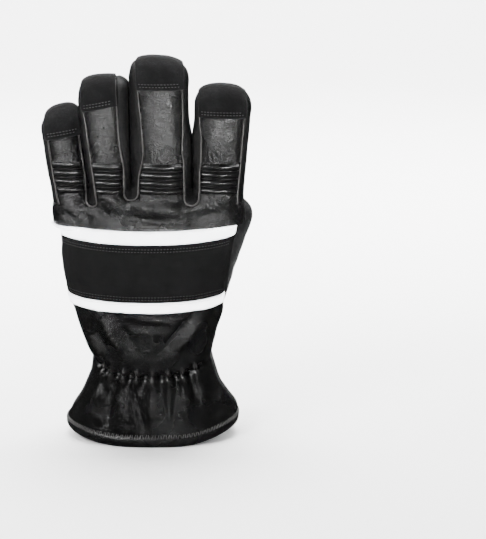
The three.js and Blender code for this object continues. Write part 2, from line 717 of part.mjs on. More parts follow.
addPiece('hand_back', handBack, leather);
addPiece('hand_palm', handPalm, suede);
addPiece('fourchette_pinky_ring', handShell.intersect(betweenFingers(0, gap / 2)), leather);
addPiece('fourchette_ring_middle', handShell.intersect(betweenFingers(1, gap / 2)), leather);
addPiece('fourchette_middle_index', handShell.intersect(betweenFingers(2, gap / 2)), leather);
addPiece('side_strip_pinky', handShell.intersect(behind).intersect(outerStrip(pinky, 0, gap / 2)), leather);
addPiece('side_strip_index', handShell.intersect(behind).intersect(outerStrip(indexFinger, 1, gap / 2)),
  leather);
addPiece('thumb_back', thumbHalf(1), suede);
addPiece('thumb_front', thumbHalf(-1), suede);
addPiece('cuff_back', cuffShell.intersect(behind), leather);
addPiece('cuff_palm', cuffShell.intersect(inFront), suede);
addPiece('hem_binding', hemBinding(), bindingFinish);
addPiece('knuckle_band', trim(bandBottomZ, bandTopZ, bandThickness), bandCloth);
const upperTapeZ = bandTopZ + gap;
const lowerTapeZ = bandBottomZ - gap - tapeWidth;
addPiece('reflective_tape_upper', trim(upperTapeZ, upperTapeZ + tapeWidth, tapeThickness), tapeFinish);
addPiece('reflective_tape_lower', trim(lowerTapeZ, lowerTapeZ + tapeWidth, tapeThickness), tapeFinish);
addPiece('palm_patch', palmPatch, darkSuede);
for (const finger of fingers) {
  addPiece(`fingertip_cap_${finger.name}`, fingertipCap(finger), darkSuede);
  addPiece(`knuckle_ribs_${finger.name}`, knuckleRibs(finger), ribLeather);
}

// The glove stands with the middle of its box on the origin
const box = new THREE.Box3().setFromObject(glove);
const centre = box.getCenter(new THREE.Vector3());
glove.position.set(-centre.x, -centre.y, -box.min.z);

export default glove;
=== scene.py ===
# Structural firefighter glove for the left hand, seen from the back, standing on its hem.
# Lengths are millimetres until a mesh is made. x runs to the thumb, y to the palm, z to the fingertips.
import math

import bpy
import numpy as np
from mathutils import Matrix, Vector


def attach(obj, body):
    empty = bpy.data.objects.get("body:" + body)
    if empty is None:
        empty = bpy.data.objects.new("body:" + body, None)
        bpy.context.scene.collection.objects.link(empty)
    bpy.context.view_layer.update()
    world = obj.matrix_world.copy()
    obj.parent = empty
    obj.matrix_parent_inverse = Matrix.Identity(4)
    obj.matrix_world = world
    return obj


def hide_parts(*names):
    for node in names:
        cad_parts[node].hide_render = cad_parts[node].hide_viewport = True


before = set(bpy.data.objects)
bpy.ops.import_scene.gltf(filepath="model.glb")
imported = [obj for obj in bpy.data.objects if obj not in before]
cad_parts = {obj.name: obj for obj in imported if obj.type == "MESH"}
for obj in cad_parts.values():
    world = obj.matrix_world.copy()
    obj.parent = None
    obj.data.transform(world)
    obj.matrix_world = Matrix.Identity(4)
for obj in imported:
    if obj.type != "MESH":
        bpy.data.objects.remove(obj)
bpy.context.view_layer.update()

# Sizes of the glove
WALL = 3.0
GAP = 0.3
HEM_HEIGHT = 9.0
CUFF_HEIGHT = 52.5
HAND_HEIGHT = 127.0
WEB_RISE = 14.0
WEB_DROP = 6.0
CUFF_WIDTH = 126.0
CUFF_DEPTH = 79.0
WRIST_WIDTH = 88.0
WRIST_DEPTH = 72.0
KNUCKLE_DEPTH = 63.0
HAND_SQUARENESS = 2.5
CUFF_SQUARENESS = 2.15
FINGER_SQUARENESS = 2.35
TRIM_BOW = 3.0
TRIM_BOW_REACH = 60.0
TRIM_BOW_DROP = 0.3 * TRIM_BOW
TRIM_END_LOW = 54.5
TRIM_END_HIGH = 60.5
LOWER_TAPE_WIDTH = 7.6
HEM_RISE_THUMB = 9.0
HEM_RISE_PINKY = 5.0
WRIST_RISE = 8.0
FLAT_SHARE = 0.34
RISE_CURVE = 1.6
RISE_FADE = 0.4
TIP_ROUND = 17.0
TIP_SQUARENESS = 2.5
CAP_LENGTH = 22.0
CAP_THICKNESS = 1.2
PAD_BOTTOM_RISE = 10.0
PAD_HEIGHT = 23.0
RIB_HEIGHT = 2.2
RIB_COUNT = 4
BAND_THICKNESS = 1.3
TAPE_THICKNESS = 1.3
TAPE_WIDTH = 9.5
BAND_WIDTH = 43.0
BAND_RISE = 59.5
TRIM_SIDE_INSET = 5.0
PATCH_THICKNESS = 1.4
PATCH_BOTTOM_RISE = 56.0
PATCH_HEIGHT = 59.0
PATCH_SIDE_INSET = 6.0
PATCH_THUMB_INSET = 1.0
THUMB_LENGTH = 111.0
THUMB_WIDTH = 35.0
THUMB_DEPTH = 28.0
THUMB_FORWARD = math.radians(35.5)
THUMB_OUTWARD = math.radians(25.5)
THUMB_ROOT_OUT = 0.177
THUMB_ROOT_FRONT = 0.206
THUMB_ROOT_UP = 0.228
THUMB_ROUND = 15.0
THUMB_TIP_SQUARENESS = 2.2
ROOT_SHIFT_X = -0.94
TIP_SHIFT_X = -2.4
ROOT_DEEPENING = 1.3
DEEP_SHARE = 0.4
SPREAD_SHARE = 0.8
WEB_NARROWING = 0.86
SEAM_CLEAR = WALL + 1.4
PINKY_CLEAR = 1.6
HEM_CENTRE_X = 1.747
HEM_CENTRE_Y = -14.871

WRIST_Z = CUFF_HEIGHT
ROOT_Z = WRIST_Z + HAND_HEIGHT
WEB_Z = ROOT_Z + WEB_RISE
BAND_LOW = WRIST_Z + BAND_RISE
BAND_HIGH = BAND_LOW + BAND_WIDTH
PAD_LOW = ROOT_Z + PAD_BOTTOM_RISE
PAD_HIGH = PAD_LOW + PAD_HEIGHT
PATCH_LOW = WRIST_Z + PATCH_BOTTOM_RISE
PATCH_HIGH = PATCH_LOW + PATCH_HEIGHT

# One row per finger, little finger first
FINGERS = [
    dict(name="pinky", length=70, width=28.8, depth=33, root_wide=0.97, root_back=-0.6, tip_back=-0.34,
         seam_y=-0.13, root_gap=0.9, tip_gap=-1.6, web=0.14, slant=0.18, lean=0.26),
    dict(name="ring", length=92.5, width=37.3, depth=36, root_wide=0.74, root_back=-0.68, tip_back=-0.48,
         seam_y=-0.25, root_gap=1.1, tip_gap=0.8, web=0.5, slant=0.2, lean=0.07),
    dict(name="middle", length=106.5, width=41.8, depth=39, root_wide=1.0, root_back=-0.68, tip_back=-0.62,
         seam_y=-0.34, root_gap=1.6, tip_gap=3.6, web=0.25, slant=0.0, lean=-0.04),
    dict(name="index", length=86.5, width=40.8, depth=37, root_wide=0.87, root_back=-0.62, tip_back=-0.59,
         seam_y=-0.35, root_gap=0.0, tip_gap=0.0, web=0.0, slant=-0.02, lean=-0.03),
]

# Seams beside each back panel, as shares of the finger's half width
SEAM_UP = [0.0, 0.2, 0.38, 0.55, 0.75, 1.0]
SEAMS = dict(
    pinky=([-0.62, -0.73, -0.7, -0.68, -0.76, -0.78], [0.8, 0.86, 0.89, 0.89, 0.89, 0.89]),
    ring=([-0.85, -0.9, -0.85, -0.87, -0.8, -0.78], [0.88, 0.8, 0.67, 0.57, 0.55, 0.5]),
    middle=([-0.8, -0.75, -0.57, -0.6, -0.7, -0.76], [0.85, 0.92, 0.75, 0.8, 0.86, 0.9]),
    index=([-0.81, -0.8, -0.73, -0.72, -0.8, -0.86], [0.89, 0.92, 0.8, 0.84, 0.88, 0.92]),
)

# Sections of the hand as shares: up, wide, deep, middle x, middle y
HAND = np.array([
    (0.000, 0.00, 0.00, -0.006, 0.040),
    (0.035, 0.03, -0.10, -0.009, 0.033),
    (0.075, 0.09, -0.17, -0.017, 0.026),
    (0.130, 0.16, -0.20, -0.023, 0.013),
    (0.200, 0.25, -0.20, -0.028, 0.000),
    (0.330, 0.42, -0.20, -0.025, -0.039),
    (0.457, 0.52, -0.20, -0.037, -0.073),
    (0.646, 0.66, -0.05, -0.037, -0.123),
    (0.819, 0.75, 0.30, -0.017, -0.153),
    (0.950, 0.95, 0.92, -0.010, -0.166),
])

# Sections of the cuff as shares: up, wide, deep, middle x, middle y
CUFF = np.array([
    (0.00, 0.97, 1.00, 0.000, -0.007),
    (0.14, 1.05, 1.02, -0.006, 0.000),
    (0.27, 0.93, 1.02, 0.004, 0.011),
    (0.42, 0.63, 1.00, 0.004, 0.026),
    (0.60, 0.33, 0.86, -0.007, 0.041),
    (0.80, 0.13, 0.60, 0.000, 0.053),
    (1.00, 0.00, 0.00, -0.006, 0.040),
])

# Leather's front edge down the side: height, share of the knuckles' depth
SIDE_SEAM = np.array([
    (-20.0, 0.0),
    (WRIST_Z, -0.08),
    (WRIST_Z + 0.35 * HAND_HEIGHT, -0.14),
    (ROOT_Z - WEB_DROP, -0.25),
])

# Sections of the thumb: along, wide, deep
THUMB = np.array([
    (0.00, 1.22, 1.90),
    (0.25, 1.14, 1.60),
    (0.50, 1.02, 1.20),
    (0.70, 0.95, 0.90),
    (0.85, 0.90, 0.76),
    (1.00, 0.86, 0.70),
])

# Folds of the back below the lower tape: from x, from up, to x, to up, reach, height
FOLDS = [
    (-0.82, 0.38, -0.42, 0.13, 5.6, 4.8),
    (0.88, 0.38, 0.36, 0.14, 5.6, 4.8),
    (-1.02, 0.26, -0.76, 0.1, 4.4, 2.6),
]


def lerp(a, b, share):
    return a + (b - a) * share


def ease(value, low, high):
    t = np.clip((value - low) / (high - low), 0.0, 1.0)
    return t * t * (3.0 - 2.0 * t)


class Curve:
    """A smooth curve through a table's rows that doesn't overshoot them."""

    def __init__(self, at, values):
        self.at = np.asarray(at, float)
        self.values = np.asarray(values, float)
        step = np.diff(self.at)
        slope = np.diff(self.values) / step
        grade = np.zeros(len(self.at))
        same = slope[:-1] * slope[1:] > 0
        w1 = 2 * step[1:] + step[:-1]
        w2 = step[1:] + 2 * step[:-1]
        safe = np.where(same, slope[:-1] * slope[1:], 1.0)
        inner = (w1 + w2) * safe / (w1 * slope[1:] + w2 * slope[:-1] + (~same) * 1e9)
        grade[1:-1] = np.where(same, inner, 0.0)
        grade[0] = slope[0]
        grade[-1] = slope[-1]
        self.step, self.grade = step, grade

    def __call__(self, x):
        x = np.clip(np.asarray(x, float), self.at[0], self.at[-1])
        k = np.clip(np.searchsorted(self.at, x, side="right") - 1, 0, len(self.at) - 2)
        h = self.step[k]
        t = (x - self.at[k]) / h
        a, b = self.values[k], self.values[k + 1]
        ga, gb = self.grade[k] * h, self.grade[k + 1] * h
        return ((2 * t ** 3 - 3 * t ** 2 + 1) * a + (t ** 3 - 2 * t ** 2 + t) * ga
                + (3 * t ** 2 - 2 * t ** 3) * b + (t ** 3 - t ** 2) * gb)


# Where the fingers stand
def side_by_side(widths, gaps):
    total = sum(widths) + sum(gaps)
    edge = -total / 2
    middles = []
    for width, space in zip(widths, gaps):
        middles.append(edge + width / 2)
        edge += width + space
    return middles, total


root_middles, ROOT_WIDTH = side_by_side([f["width"] * f["root_wide"] for f in FINGERS],
                                        [f["root_gap"] for f in FINGERS])
tip_middles, _ = side_by_side([f["width"] for f in FINGERS], [f["tip_gap"] for f in FINGERS])
for finger, root_x, tip_x in zip(FINGERS, root_middles, tip_middles):
    finger["root_x"] = root_x + ROOT_SHIFT_X
    finger["tip_x"] = tip_x + TIP_SHIFT_X
    finger["tip_z"] = ROOT_Z + finger["length"]
    low, high = SEAMS[finger["name"]]
    finger["seams"] = (Curve(SEAM_UP, low), Curve(SEAM_UP, high))


def finger_at(f, z):
    up = np.clip((z - ROOT_Z) / f["length"], 0.0, 1.0)
    spread = np.minimum(up / SPREAD_SHARE, 1.0)
    deep = 0.5 * f["depth"] * lerp(ROOT_DEEPENING, 1.0, ease(up, 0.0, DEEP_SHARE))
    x = lerp(f["root_x"], f["tip_x"], spread)
    y = KNUCKLE_DEPTH * lerp(f["root_back"], f["tip_back"], up) + deep
    wide = 0.5 * f["width"] * lerp(f["root_wide"], 1.0, spread)
    return x, y, wide, deep


def seam_x(f, side, z):
    """The seam beside a finger's back panel, left, 0, or right, 1."""
    x, _, wide, _ = finger_at(f, z)
    up = np.clip((z - ROOT_Z) / f["length"], 0.0, 1.0)
    share = np.abs(f["seams"][side](up))
    clear = PINKY_CLEAR if side and f["name"] == "pinky" else SEAM_CLEAR
    away = np.minimum(share * wide, wide - clear)
    return x + (away if side else -away)


hand_wide, hand_deep, hand_mx, hand_my = [Curve(HAND[:, 0], HAND[:, k]) for k in range(1, 5)]
cuff_wide, cuff_deep, cuff_mx, cuff_my = [Curve(CUFF[:, 0], CUFF[:, k]) for k in range(1, 5)]
side_seam = Curve(SIDE_SEAM[:, 0], SIDE_SEAM[:, 1])
thumb_wide, thumb_deep = Curve(THUMB[:, 0], THUMB[:, 1]), Curve(THUMB[:, 0], THUMB[:, 2])
LAST_Z = WRIST_Z + HAND[-1, 0] * HAND_HEIGHT


def side_rise(across, half_width, z):
    """How much higher the hem and the elastic line lie towards the sides."""
    outward = np.clip(np.abs(across) / half_width, 0.0, 1.0)
    curve = (np.maximum(outward - FLAT_SHARE, 0.0) / (1 - FLAT_SHARE)) ** RISE_CURVE
    hem_rise = np.where(across > 0, HEM_RISE_THUMB, HEM_RISE_PINKY)
    level = np.clip(z / WRIST_Z, 0.0, 1.0)
    fade = 1.0 - ease(z, WRIST_Z, WRIST_Z + RISE_FADE * HAND_HEIGHT)
    return curve * fade * lerp(hem_rise, WRIST_RISE, level)


def hand_section(z):
    up = (z - WRIST_Z) / HAND_HEIGHT
    wide = 0.5 * (WRIST_WIDTH + hand_wide(up) * (ROOT_WIDTH - WRIST_WIDTH))
    deep = 0.5 * (WRIST_DEPTH + hand_deep(up) * (KNUCKLE_DEPTH - WRIST_DEPTH))
    return hand_mx(up) * WRIST_WIDTH, hand_my(up) * WRIST_DEPTH, wide, deep


def hand_field(x, y, z):
    """Distance from the hand without fingers, below 0 inside it."""
    mx, _, wide, _ = hand_section(z)
    level = z - side_rise(x - mx, wide, z)
    mx, my, wide, deep = hand_section(level)
    up = np.maximum(level - LAST_Z, 0.0) / (WEB_Z - LAST_Z)
    narrow = np.maximum(1 - np.minimum(up, 1.0) ** TIP_SQUARENESS, 0.0) ** (1 / TIP_SQUARENESS)
    wide = wide * lerp(WEB_NARROWING, 1.0, narrow)
    dx, dy = x - mx, y - my
    b = (np.abs(dy / deep) ** TIP_SQUARENESS + up ** TIP_SQUARENESS) ** (1 / TIP_SQUARENESS)
    share = (np.abs(dx / wide) ** HAND_SQUARENESS + b ** HAND_SQUARENESS) ** (1 / HAND_SQUARENESS)
    share = np.maximum(share, 1e-3)
    reach = np.sqrt(dx * dx + dy * dy + (up * (WEB_Z - LAST_Z)) ** 2)
    return (1 - 1 / share) * np.maximum(reach, 1.0)


# How neighbouring fingers press on each other, and from which height each pair stands open
FINGER_SPACE = -0.3
PRESS = 1.6
OPEN_FROM = (320.0, 320.0, 226.0)
OPENING = 16.0
PRESSED_BLEND = 4.0

# How the forms run into each other
HAND_BLEND = 9.0
THUMB_BLEND = 7.0
FINGER_FOOT = ROOT_Z - 14.0
FAR = 60.0


def fullness(index, z):
    """How far each of two neighbouring fingers swells to touch the other."""
    lx, _, lw, _ = finger_at(FINGERS[index], z)
    rx, _, rw, _ = finger_at(FINGERS[index + 1], z)
    gap = rx - rw - lx - lw
    return np.maximum(0.5 * gap + PRESS, 0.0) * (1 - ease(z, OPEN_FROM[index], OPEN_FROM[index] + OPENING))


def finger_field(f, x, y, z):
    """Distance from one finger, below 0 inside it."""
    mx, my, wide, deep = finger_at(f, z)
    place = FINGERS.index(f)
    if place > 0:
        wide = wide + np.where(x < mx, fullness(place - 1, z), 0.0)
    if place < len(FINGERS) - 1:
        wide = wide + np.where(x >= mx, fullness(place, z), 0.0)
    dx, dy = x - mx, y - my
    up = np.maximum(z - f["lean"] * dx - (f["tip_z"] - TIP_ROUND), 0.0) / TIP_ROUND
    ring = (np.abs(dx / wide) ** FINGER_SQUARENESS
            + np.abs(dy / deep) ** FINGER_SQUARENESS) ** (1 / FINGER_SQUARENESS)
    share = (ring ** TIP_SQUARENESS + up ** TIP_SQUARENESS) ** (1 / TIP_SQUARENESS)
    share = np.maximum(share, 1e-3)
    reach = np.sqrt(dx * dx + dy * dy + (up * TIP_ROUND) ** 2)
    return (1 - 1 / share) * np.maximum(reach, 1.0)


thumb_root = np.array([THUMB_ROOT_OUT * ROOT_WIDTH, THUMB_ROOT_FRONT * KNUCKLE_DEPTH,
                       WRIST_Z + THUMB_ROOT_UP * HAND_HEIGHT])
thumb_axis = np.array([math.tan(THUMB_OUTWARD), math.tan(THUMB_FORWARD), 1.0])
thumb_axis /= np.linalg.norm(thumb_axis)
thumb_across = np.array([1.0, 0.0, 0.0]) - thumb_axis[0] * thumb_axis
thumb_across /= np.linalg.norm(thumb_across)
thumb_through = np.cross(thumb_axis, thumb_across)


def thumb_place(x, y, z):
    rx, ry, rz = x - thumb_root[0], y - thumb_root[1], z - thumb_root[2]
    return [rx * v[0] + ry * v[1] + rz * v[2] for v in (thumb_across, thumb_through, thumb_axis)]


def thumb_field(x, y, z):
    across, through, along = thumb_place(x, y, z)
    share_along = along / THUMB_LENGTH
    wide = 0.5 * THUMB_WIDTH * thumb_wide(share_along)
    deep = 0.5 * THUMB_DEPTH * thumb_deep(share_along)
    up = np.maximum(along - (THUMB_LENGTH - THUMB_ROUND), 0.0) / THUMB_ROUND
    ring = (np.abs(across / wide) ** FINGER_SQUARENESS
            + np.abs(through / deep) ** FINGER_SQUARENESS) ** (1 / FINGER_SQUARENESS)
    share = np.maximum(
        (ring ** THUMB_TIP_SQUARENESS + up ** THUMB_TIP_SQUARENESS) ** (1 / THUMB_TIP_SQUARENESS), 1e-3)
    reach = np.sqrt(across ** 2 + through ** 2 + (up * THUMB_ROUND) ** 2)
    return np.maximum((1 - 1 / share) * np.maximum(reach, 1.0), -along)


def smooth_min(a, b, blend):
    h = np.maximum(blend - np.abs(a - b), 0.0) / blend
    return np.minimum(a, b) - h * h * blend * 0.25


def between_x(index, z):
    """Middle of the space between two neighbouring fingers."""
    lx, _, lw, _ = finger_at(FINGERS[index], z)
    rx, _, rw, _ = finger_at(FINGERS[index + 1], z)
    return 0.5 * (lx + lw + rx - rw)


def fingers_field(x, y, z):
    best = None
    for index, f in enumerate(FINGERS):
        value = finger_field(f, x, y, z)
        if index > 0:
            value = -smooth_min(-value, -(between_x(index - 1, z) + FINGER_SPACE - x), PRESSED_BLEND)
        if index < len(FINGERS) - 1:
            value = -smooth_min(-value, -(x - between_x(index, z) + FINGER_SPACE), PRESSED_BLEND)
        best = value if best is None else np.minimum(best, value)
    return np.where(z > FINGER_FOOT, best, FAR)


def glove_field(x, y, z):
    """Distance from the whole glove's plain form, below 0 inside it."""
    body = smooth_min(hand_field(x, y, z), fingers_field(x, y, z), HAND_BLEND)
    return smooth_min(body, thumb_field(x, y, z), THUMB_BLEND)


SLOPE_STEP = 0.4
LEAST_STEEP = 0.2
SETTLE_LIMIT = 2.0


def slope(points):
    """Outward direction of the glove's surface, and the field's steepness there."""
    x, y, z = points.T
    step = SLOPE_STEP
    gx = glove_field(x + step, y, z) - glove_field(x - step, y, z)
    gy = glove_field(x, y + step, z) - glove_field(x, y - step, z)
    gz = glove_field(x, y, z + step) - glove_field(x, y, z - step)
    g = np.stack([gx, gy, gz], 1) / (2 * step)
    size = np.linalg.norm(g, axis=1)
    return g / np.maximum(size, 1e-6)[:, None], np.maximum(size, LEAST_STEEP)


def settle(points, rounds):
    """Moves points onto the glove's surface."""
    for _ in range(rounds):
        out, steep = slope(points)
        value = glove_field(*points.T)
        points = points - out * np.clip(value / steep, -SETTLE_LIMIT, SETTLE_LIMIT)[:, None]
    return points


# Mesh tools
CORNERS = np.array([(i, j, k) for i in (0, 1) for j in (0, 1) for k in (0, 1)])
CORNER_STEP = (4, 2, 1)
CROSS_AXES = ((1, 2), (2, 0), (0, 1))


def net_points(field, cells):
    """For each cell, the mean place where its edges cross the surface."""
    values = np.stack([field[tuple((cells + corner).T)] for corner in CORNERS], 1)
    total = np.zeros((len(cells), 3))
    count = np.zeros(len(cells))
    for a, corner in enumerate(CORNERS):
        for axis in np.flatnonzero(corner == 0):
            va, vb = values[:, a], values[:, a + CORNER_STEP[axis]]
            crosses = (va < 0) != (vb < 0)
            place = np.tile(corner.astype(float), (len(cells), 1))
            place[:, axis] += np.where(crosses, va / np.where(crosses, va - vb, 1.0), 0.0)
            total += place * crosses[:, None]
            count += crosses
    return cells + total / count[:, None]


def net_quads(inside, ids, axis):
    """Quads round the grid edges along one axis that cross the surface."""
    u, v = CROSS_AXES[axis]
    start = [slice(1, -1)] * 3
    start[axis] = slice(0, -1)
    end = [slice(1, -1)] * 3
    end[axis] = slice(1, None)
    low, high = inside[tuple(start)], inside[tuple(end)]
    faces = []
    for crossed, flip in ((low & ~high, False), (~low & high, True)):
        base = np.argwhere(crossed)
        base[:, u] += 1
        base[:, v] += 1
        quad = []
        for du, dv in ((-1, -1), (0, -1), (0, 0), (-1, 0)):
            cell = base.copy()
            cell[:, u] += du
            cell[:, v] += dv
            quad.append(ids[tuple(cell.T)])
        quad = np.stack(quad, 1)
        faces.append(quad[:, ::-1] if flip else quad)
    return np.concatenate(faces)


def surface_net(field, origin, step):
    """Quads where a sampled field changes sign."""
    inside = field < 0
    nx, ny, nz = inside.shape
    corner = [inside[i:nx - 1 + i, j:ny - 1 + j, k:nz - 1 + k] for i, j, k in CORNERS]
    some = np.logical_or.reduce(corner)
    cells = np.argwhere(some & ~np.logical_and.reduce(corner))
    ids = np.full(some.shape, -1, np.int64)
    ids[tuple(cells.T)] = np.arange(len(cells))
    points = net_points(field, cells) * step + origin
    return points, np.concatenate([net_quads(inside, ids, axis) for axis in range(3)])


SKIN_LOW = np.array([-84.0, -56.0, WRIST_Z - 8.0])
SKIN_HIGH = np.array([84.0, 88.0, 292.0])
SLAB = 24
BELOW_SKIN = 5.0
RELAX_SHARE = 0.5


def sample_surface(step, level):
    """The glove's outer skin, or with a level below 0 its inside."""
    count = np.ceil((SKIN_HIGH - SKIN_LOW) / step).astype(int) + 1
    axes = [SKIN_LOW[k] + step * np.arange(count[k]) for k in range(3)]
    field = np.empty(count, np.float32)
    for first in range(0, count[2], SLAB):
        x, y, z = np.meshgrid(axes[0], axes[1], axes[2][first:first + SLAB], indexing="ij")
        field[:, :, first:first + SLAB] = glove_field(x, y, z) - level
    field[:, :, 0] = BELOW_SKIN
    return surface_net(field, SKIN_LOW, step)


def to_triangles(quads):
    return np.concatenate([quads[:, [0, 1, 2]], quads[:, [0, 2, 3]]])


def triangle_edges(faces):
    return np.concatenate([faces[:, [0, 1]], faces[:, [1, 2]], faces[:, [2, 0]]])


def relax(points, faces, rounds):
    """Moves each point towards the middle of its neighbours."""
    edges = np.unique(np.sort(np.concatenate([faces[:, [k, (k + 1) % faces.shape[1]]]
                                              for k in range(faces.shape[1])]), axis=1), axis=0)
    count = np.bincount(edges.ravel(), minlength=len(points)).astype(float)
    count[count == 0] = 1.0
    for _ in range(rounds):
        total = np.zeros_like(points)
        for k in range(3):
            total[:, k] = (np.bincount(edges[:, 0], points[edges[:, 1], k], len(points))
                           + np.bincount(edges[:, 1], points[edges[:, 0], k], len(points)))
        points = lerp(points, total / count[:, None], RELAX_SHARE)
    return points


def without_spares(points, faces):
    """The mesh without the points that no face uses."""
    used, inverse = np.unique(faces, return_inverse=True)
    return points[used], inverse.reshape(faces.shape)


def clip(points, faces, field):
    """The part of a triangle mesh where field is above 0."""
    positive = field > 0
    crossing = np.sort(triangle_edges(faces), axis=1)
    crossing = crossing[positive[crossing[:, 0]] != positive[crossing[:, 1]]]
    crossing = np.unique(crossing, axis=0)
    key = crossing[:, 0] * len(points) + crossing[:, 1]
    f0, f1 = field[crossing[:, 0]], field[crossing[:, 1]]
    t = (f0 / (f0 - f1))[:, None]
    new_points = lerp(points[crossing[:, 0]], points[crossing[:, 1]], t)
    inside_count = positive[faces].sum(1)
    kept = [faces[inside_count == 3]]

    def made(a, b):
        low, high = np.minimum(a, b), np.maximum(a, b)
        return len(points) + np.searchsorted(key, low * len(points) + high)

    for k in range(3):
        a, b, c = faces[:, k], faces[:, (k + 1) % 3], faces[:, (k + 2) % 3]
        one = (inside_count == 1) & positive[a]
        kept.append(np.stack([a[one], made(a[one], b[one]), made(a[one], c[one])], 1))
        two = (inside_count == 2) & ~positive[a]
        ab, ac = made(a[two], b[two]), made(a[two], c[two])
        kept.append(np.stack([ab, b[two], c[two]], 1))
        kept.append(np.stack([ab, c[two], ac], 1))
    faces = np.concatenate(kept)
    return without_spares(np.concatenate([points, new_points]), faces)


def split_y(x, z):
    side_y = KNUCKLE_DEPTH * side_seam(z)
    tips = [f["tip_x"] for f in FINGERS]
    finger_y = KNUCKLE_DEPTH * np.interp(x, tips, [f["seam_y"] for f in FINGERS])
    return lerp(side_y, finger_y, ease(z, ROOT_Z - WEB_DROP, ROOT_Z + WEB_RISE))


LOOP_DROP = 3.0
LOOP_SQUASH = 1.15
OUTER_FOOT = ROOT_Z + 2.0


def strip_field(index, x, z):
    """Above 0 on the strip between two fingers, with a rounded lower end."""
    left, right = FINGERS[index], FINGERS[index + 1]
    foot = ROOT_Z + left["web"] * WEB_RISE + LOOP_DROP
    level = np.maximum(z, foot)
    a, b = seam_x(left, 1, level), seam_x(right, 0, level)
    middle, half = 0.5 * (a + b), 0.5 * (b - a)
    across = np.abs(x - middle)
    return np.where(z > foot, half - across, half - np.hypot(across, (z - foot) * LOOP_SQUASH))


def outer_field(side, x, z):
    """Above 0 on the strip down the outer side of the little finger, 0, or the index, 1."""
    f = FINGERS[3] if side else FINGERS[0]
    edge = seam_x(f, side, z)
    away = x - edge if side else edge - x
    return np.minimum(away, z - OUTER_FOOT)


# Gentle unevenness, the same on each run
HASH_PRIMES = (73856093, 19349663, 83492791)
HASH_SEED = 2654435
HASH_FACTOR = 1103515245
HASH_SHIFT = 12345
HASH_MASK = 0x7FFFFFFF
SEED_STEP = 17.31
LUMP_SIZES = (11.0, 5.0, 2.2)


def scattered(n, seed):
    """A number from -1 to 1 for each whole number in n."""
    n = (n ^ (seed * HASH_SEED)) & HASH_MASK
    n = (n * HASH_FACTOR + HASH_SHIFT) & HASH_MASK
    n = ((n >> 8) * HASH_FACTOR + HASH_SHIFT) & HASH_MASK
    return (n & 0xFFFF) / 32767.5 - 1.0


def lumps(points, size, seed):
    p = points / size + seed * SEED_STEP
    base = np.floor(p).astype(np.int64)
    t = p - base
    t = t * t * (3 - 2 * t)
    total = 0.0
    for corner in CORNERS:
        spot = (base + corner) * HASH_PRIMES
        value = scattered(spot[:, 0] ^ spot[:, 1] ^ spot[:, 2], seed)
        total = total + value * np.prod(np.where(corner, t, 1 - t), axis=1)
    return total


def unevenness(points, heights, first_seed):
    total = 0.0
    for k, (size, height) in enumerate(zip(LUMP_SIZES, heights)):
        total = total + height * lumps(points, size, first_seed + k)
    return total


BUMP_END = 0.1


def segment_bump(x, z, ax, az, bx, bz, reach, height):
    """A soft ridge or groove along a line, thinning out at its ends."""
    lx, lz = bx - ax, bz - az
    share = np.clip(((x - ax) * lx + (z - az) * lz) / (lx * lx + lz * lz), 0, 1)
    away = np.hypot(x - ax - share * lx, z - az - share * lz)
    along = height * np.sin(np.pi * np.clip(share, BUMP_END, 1.0 - BUMP_END))
    return along * np.exp(-2 * (away / reach) ** 2)


# Relief of the leather
PLEATS_X = [-42.0, -34.8, -28.8, -20.1, -10.3, 1.1, 12.5, 22.8, 32.0, 40.5]
PLEATS_REACH = [2.6, 2.4, 2.8, 3.4, 3.9, 4.2, 4.0, 3.7, 3.3, 2.6]

# Puckers below and above the elastic line: heights over it, and what each has there
PUCKER_WIDTH = ([-26, -8, 0, 5, 16], [1.25, 1.0, 0.78, 0.42, 0.9])
PUCKER_HEIGHT = ([-36, -24, -9, -1.5, 2.5, 6, 16], [0.0, 0.7, 2.0, 4.8, 3.4, 0.6, 0.0])
PUCKER_SPREAD = ([-40, 0], [1.28, 1.0])
PUCKER_VALLEY = ([-30, -8, 0, 14], [0.2, 0.6, 1.0, 0.0])
PUCKER_ROUNDNESS = 2.4
PINCH_DEPTH = 2.3
PINCH_REACH = 2.4

# The palm side's plain gathers
PALM_PINCH_DEPTH = 1.2
PALM_PINCH_REACH = 2.6
PALM_GATHER_HEIGHT = 0.7
PALM_GATHER_TURN = 0.62
PALM_GATHER_REACH = 7.0

# Padding of the panels and the grooves at their seams
NO_EDGE = 50.0
GROOVE_DEPTH = 0.9
GROOVE_REACH = 1.2
HAND_PADDING = 0.35
FINGER_PADDING = 1.5
PALM_PADDING = 0.2
PADDING_REACH = 16.0
PADDING_ROUND = 5.0
ROLL_HEIGHT = 0.9
ROLL_MIDDLE = PAD_HIGH + 9.0
ROLL_REACH = 8.0
HAND_LUMPS = (0.38, 0.2, 0.08)

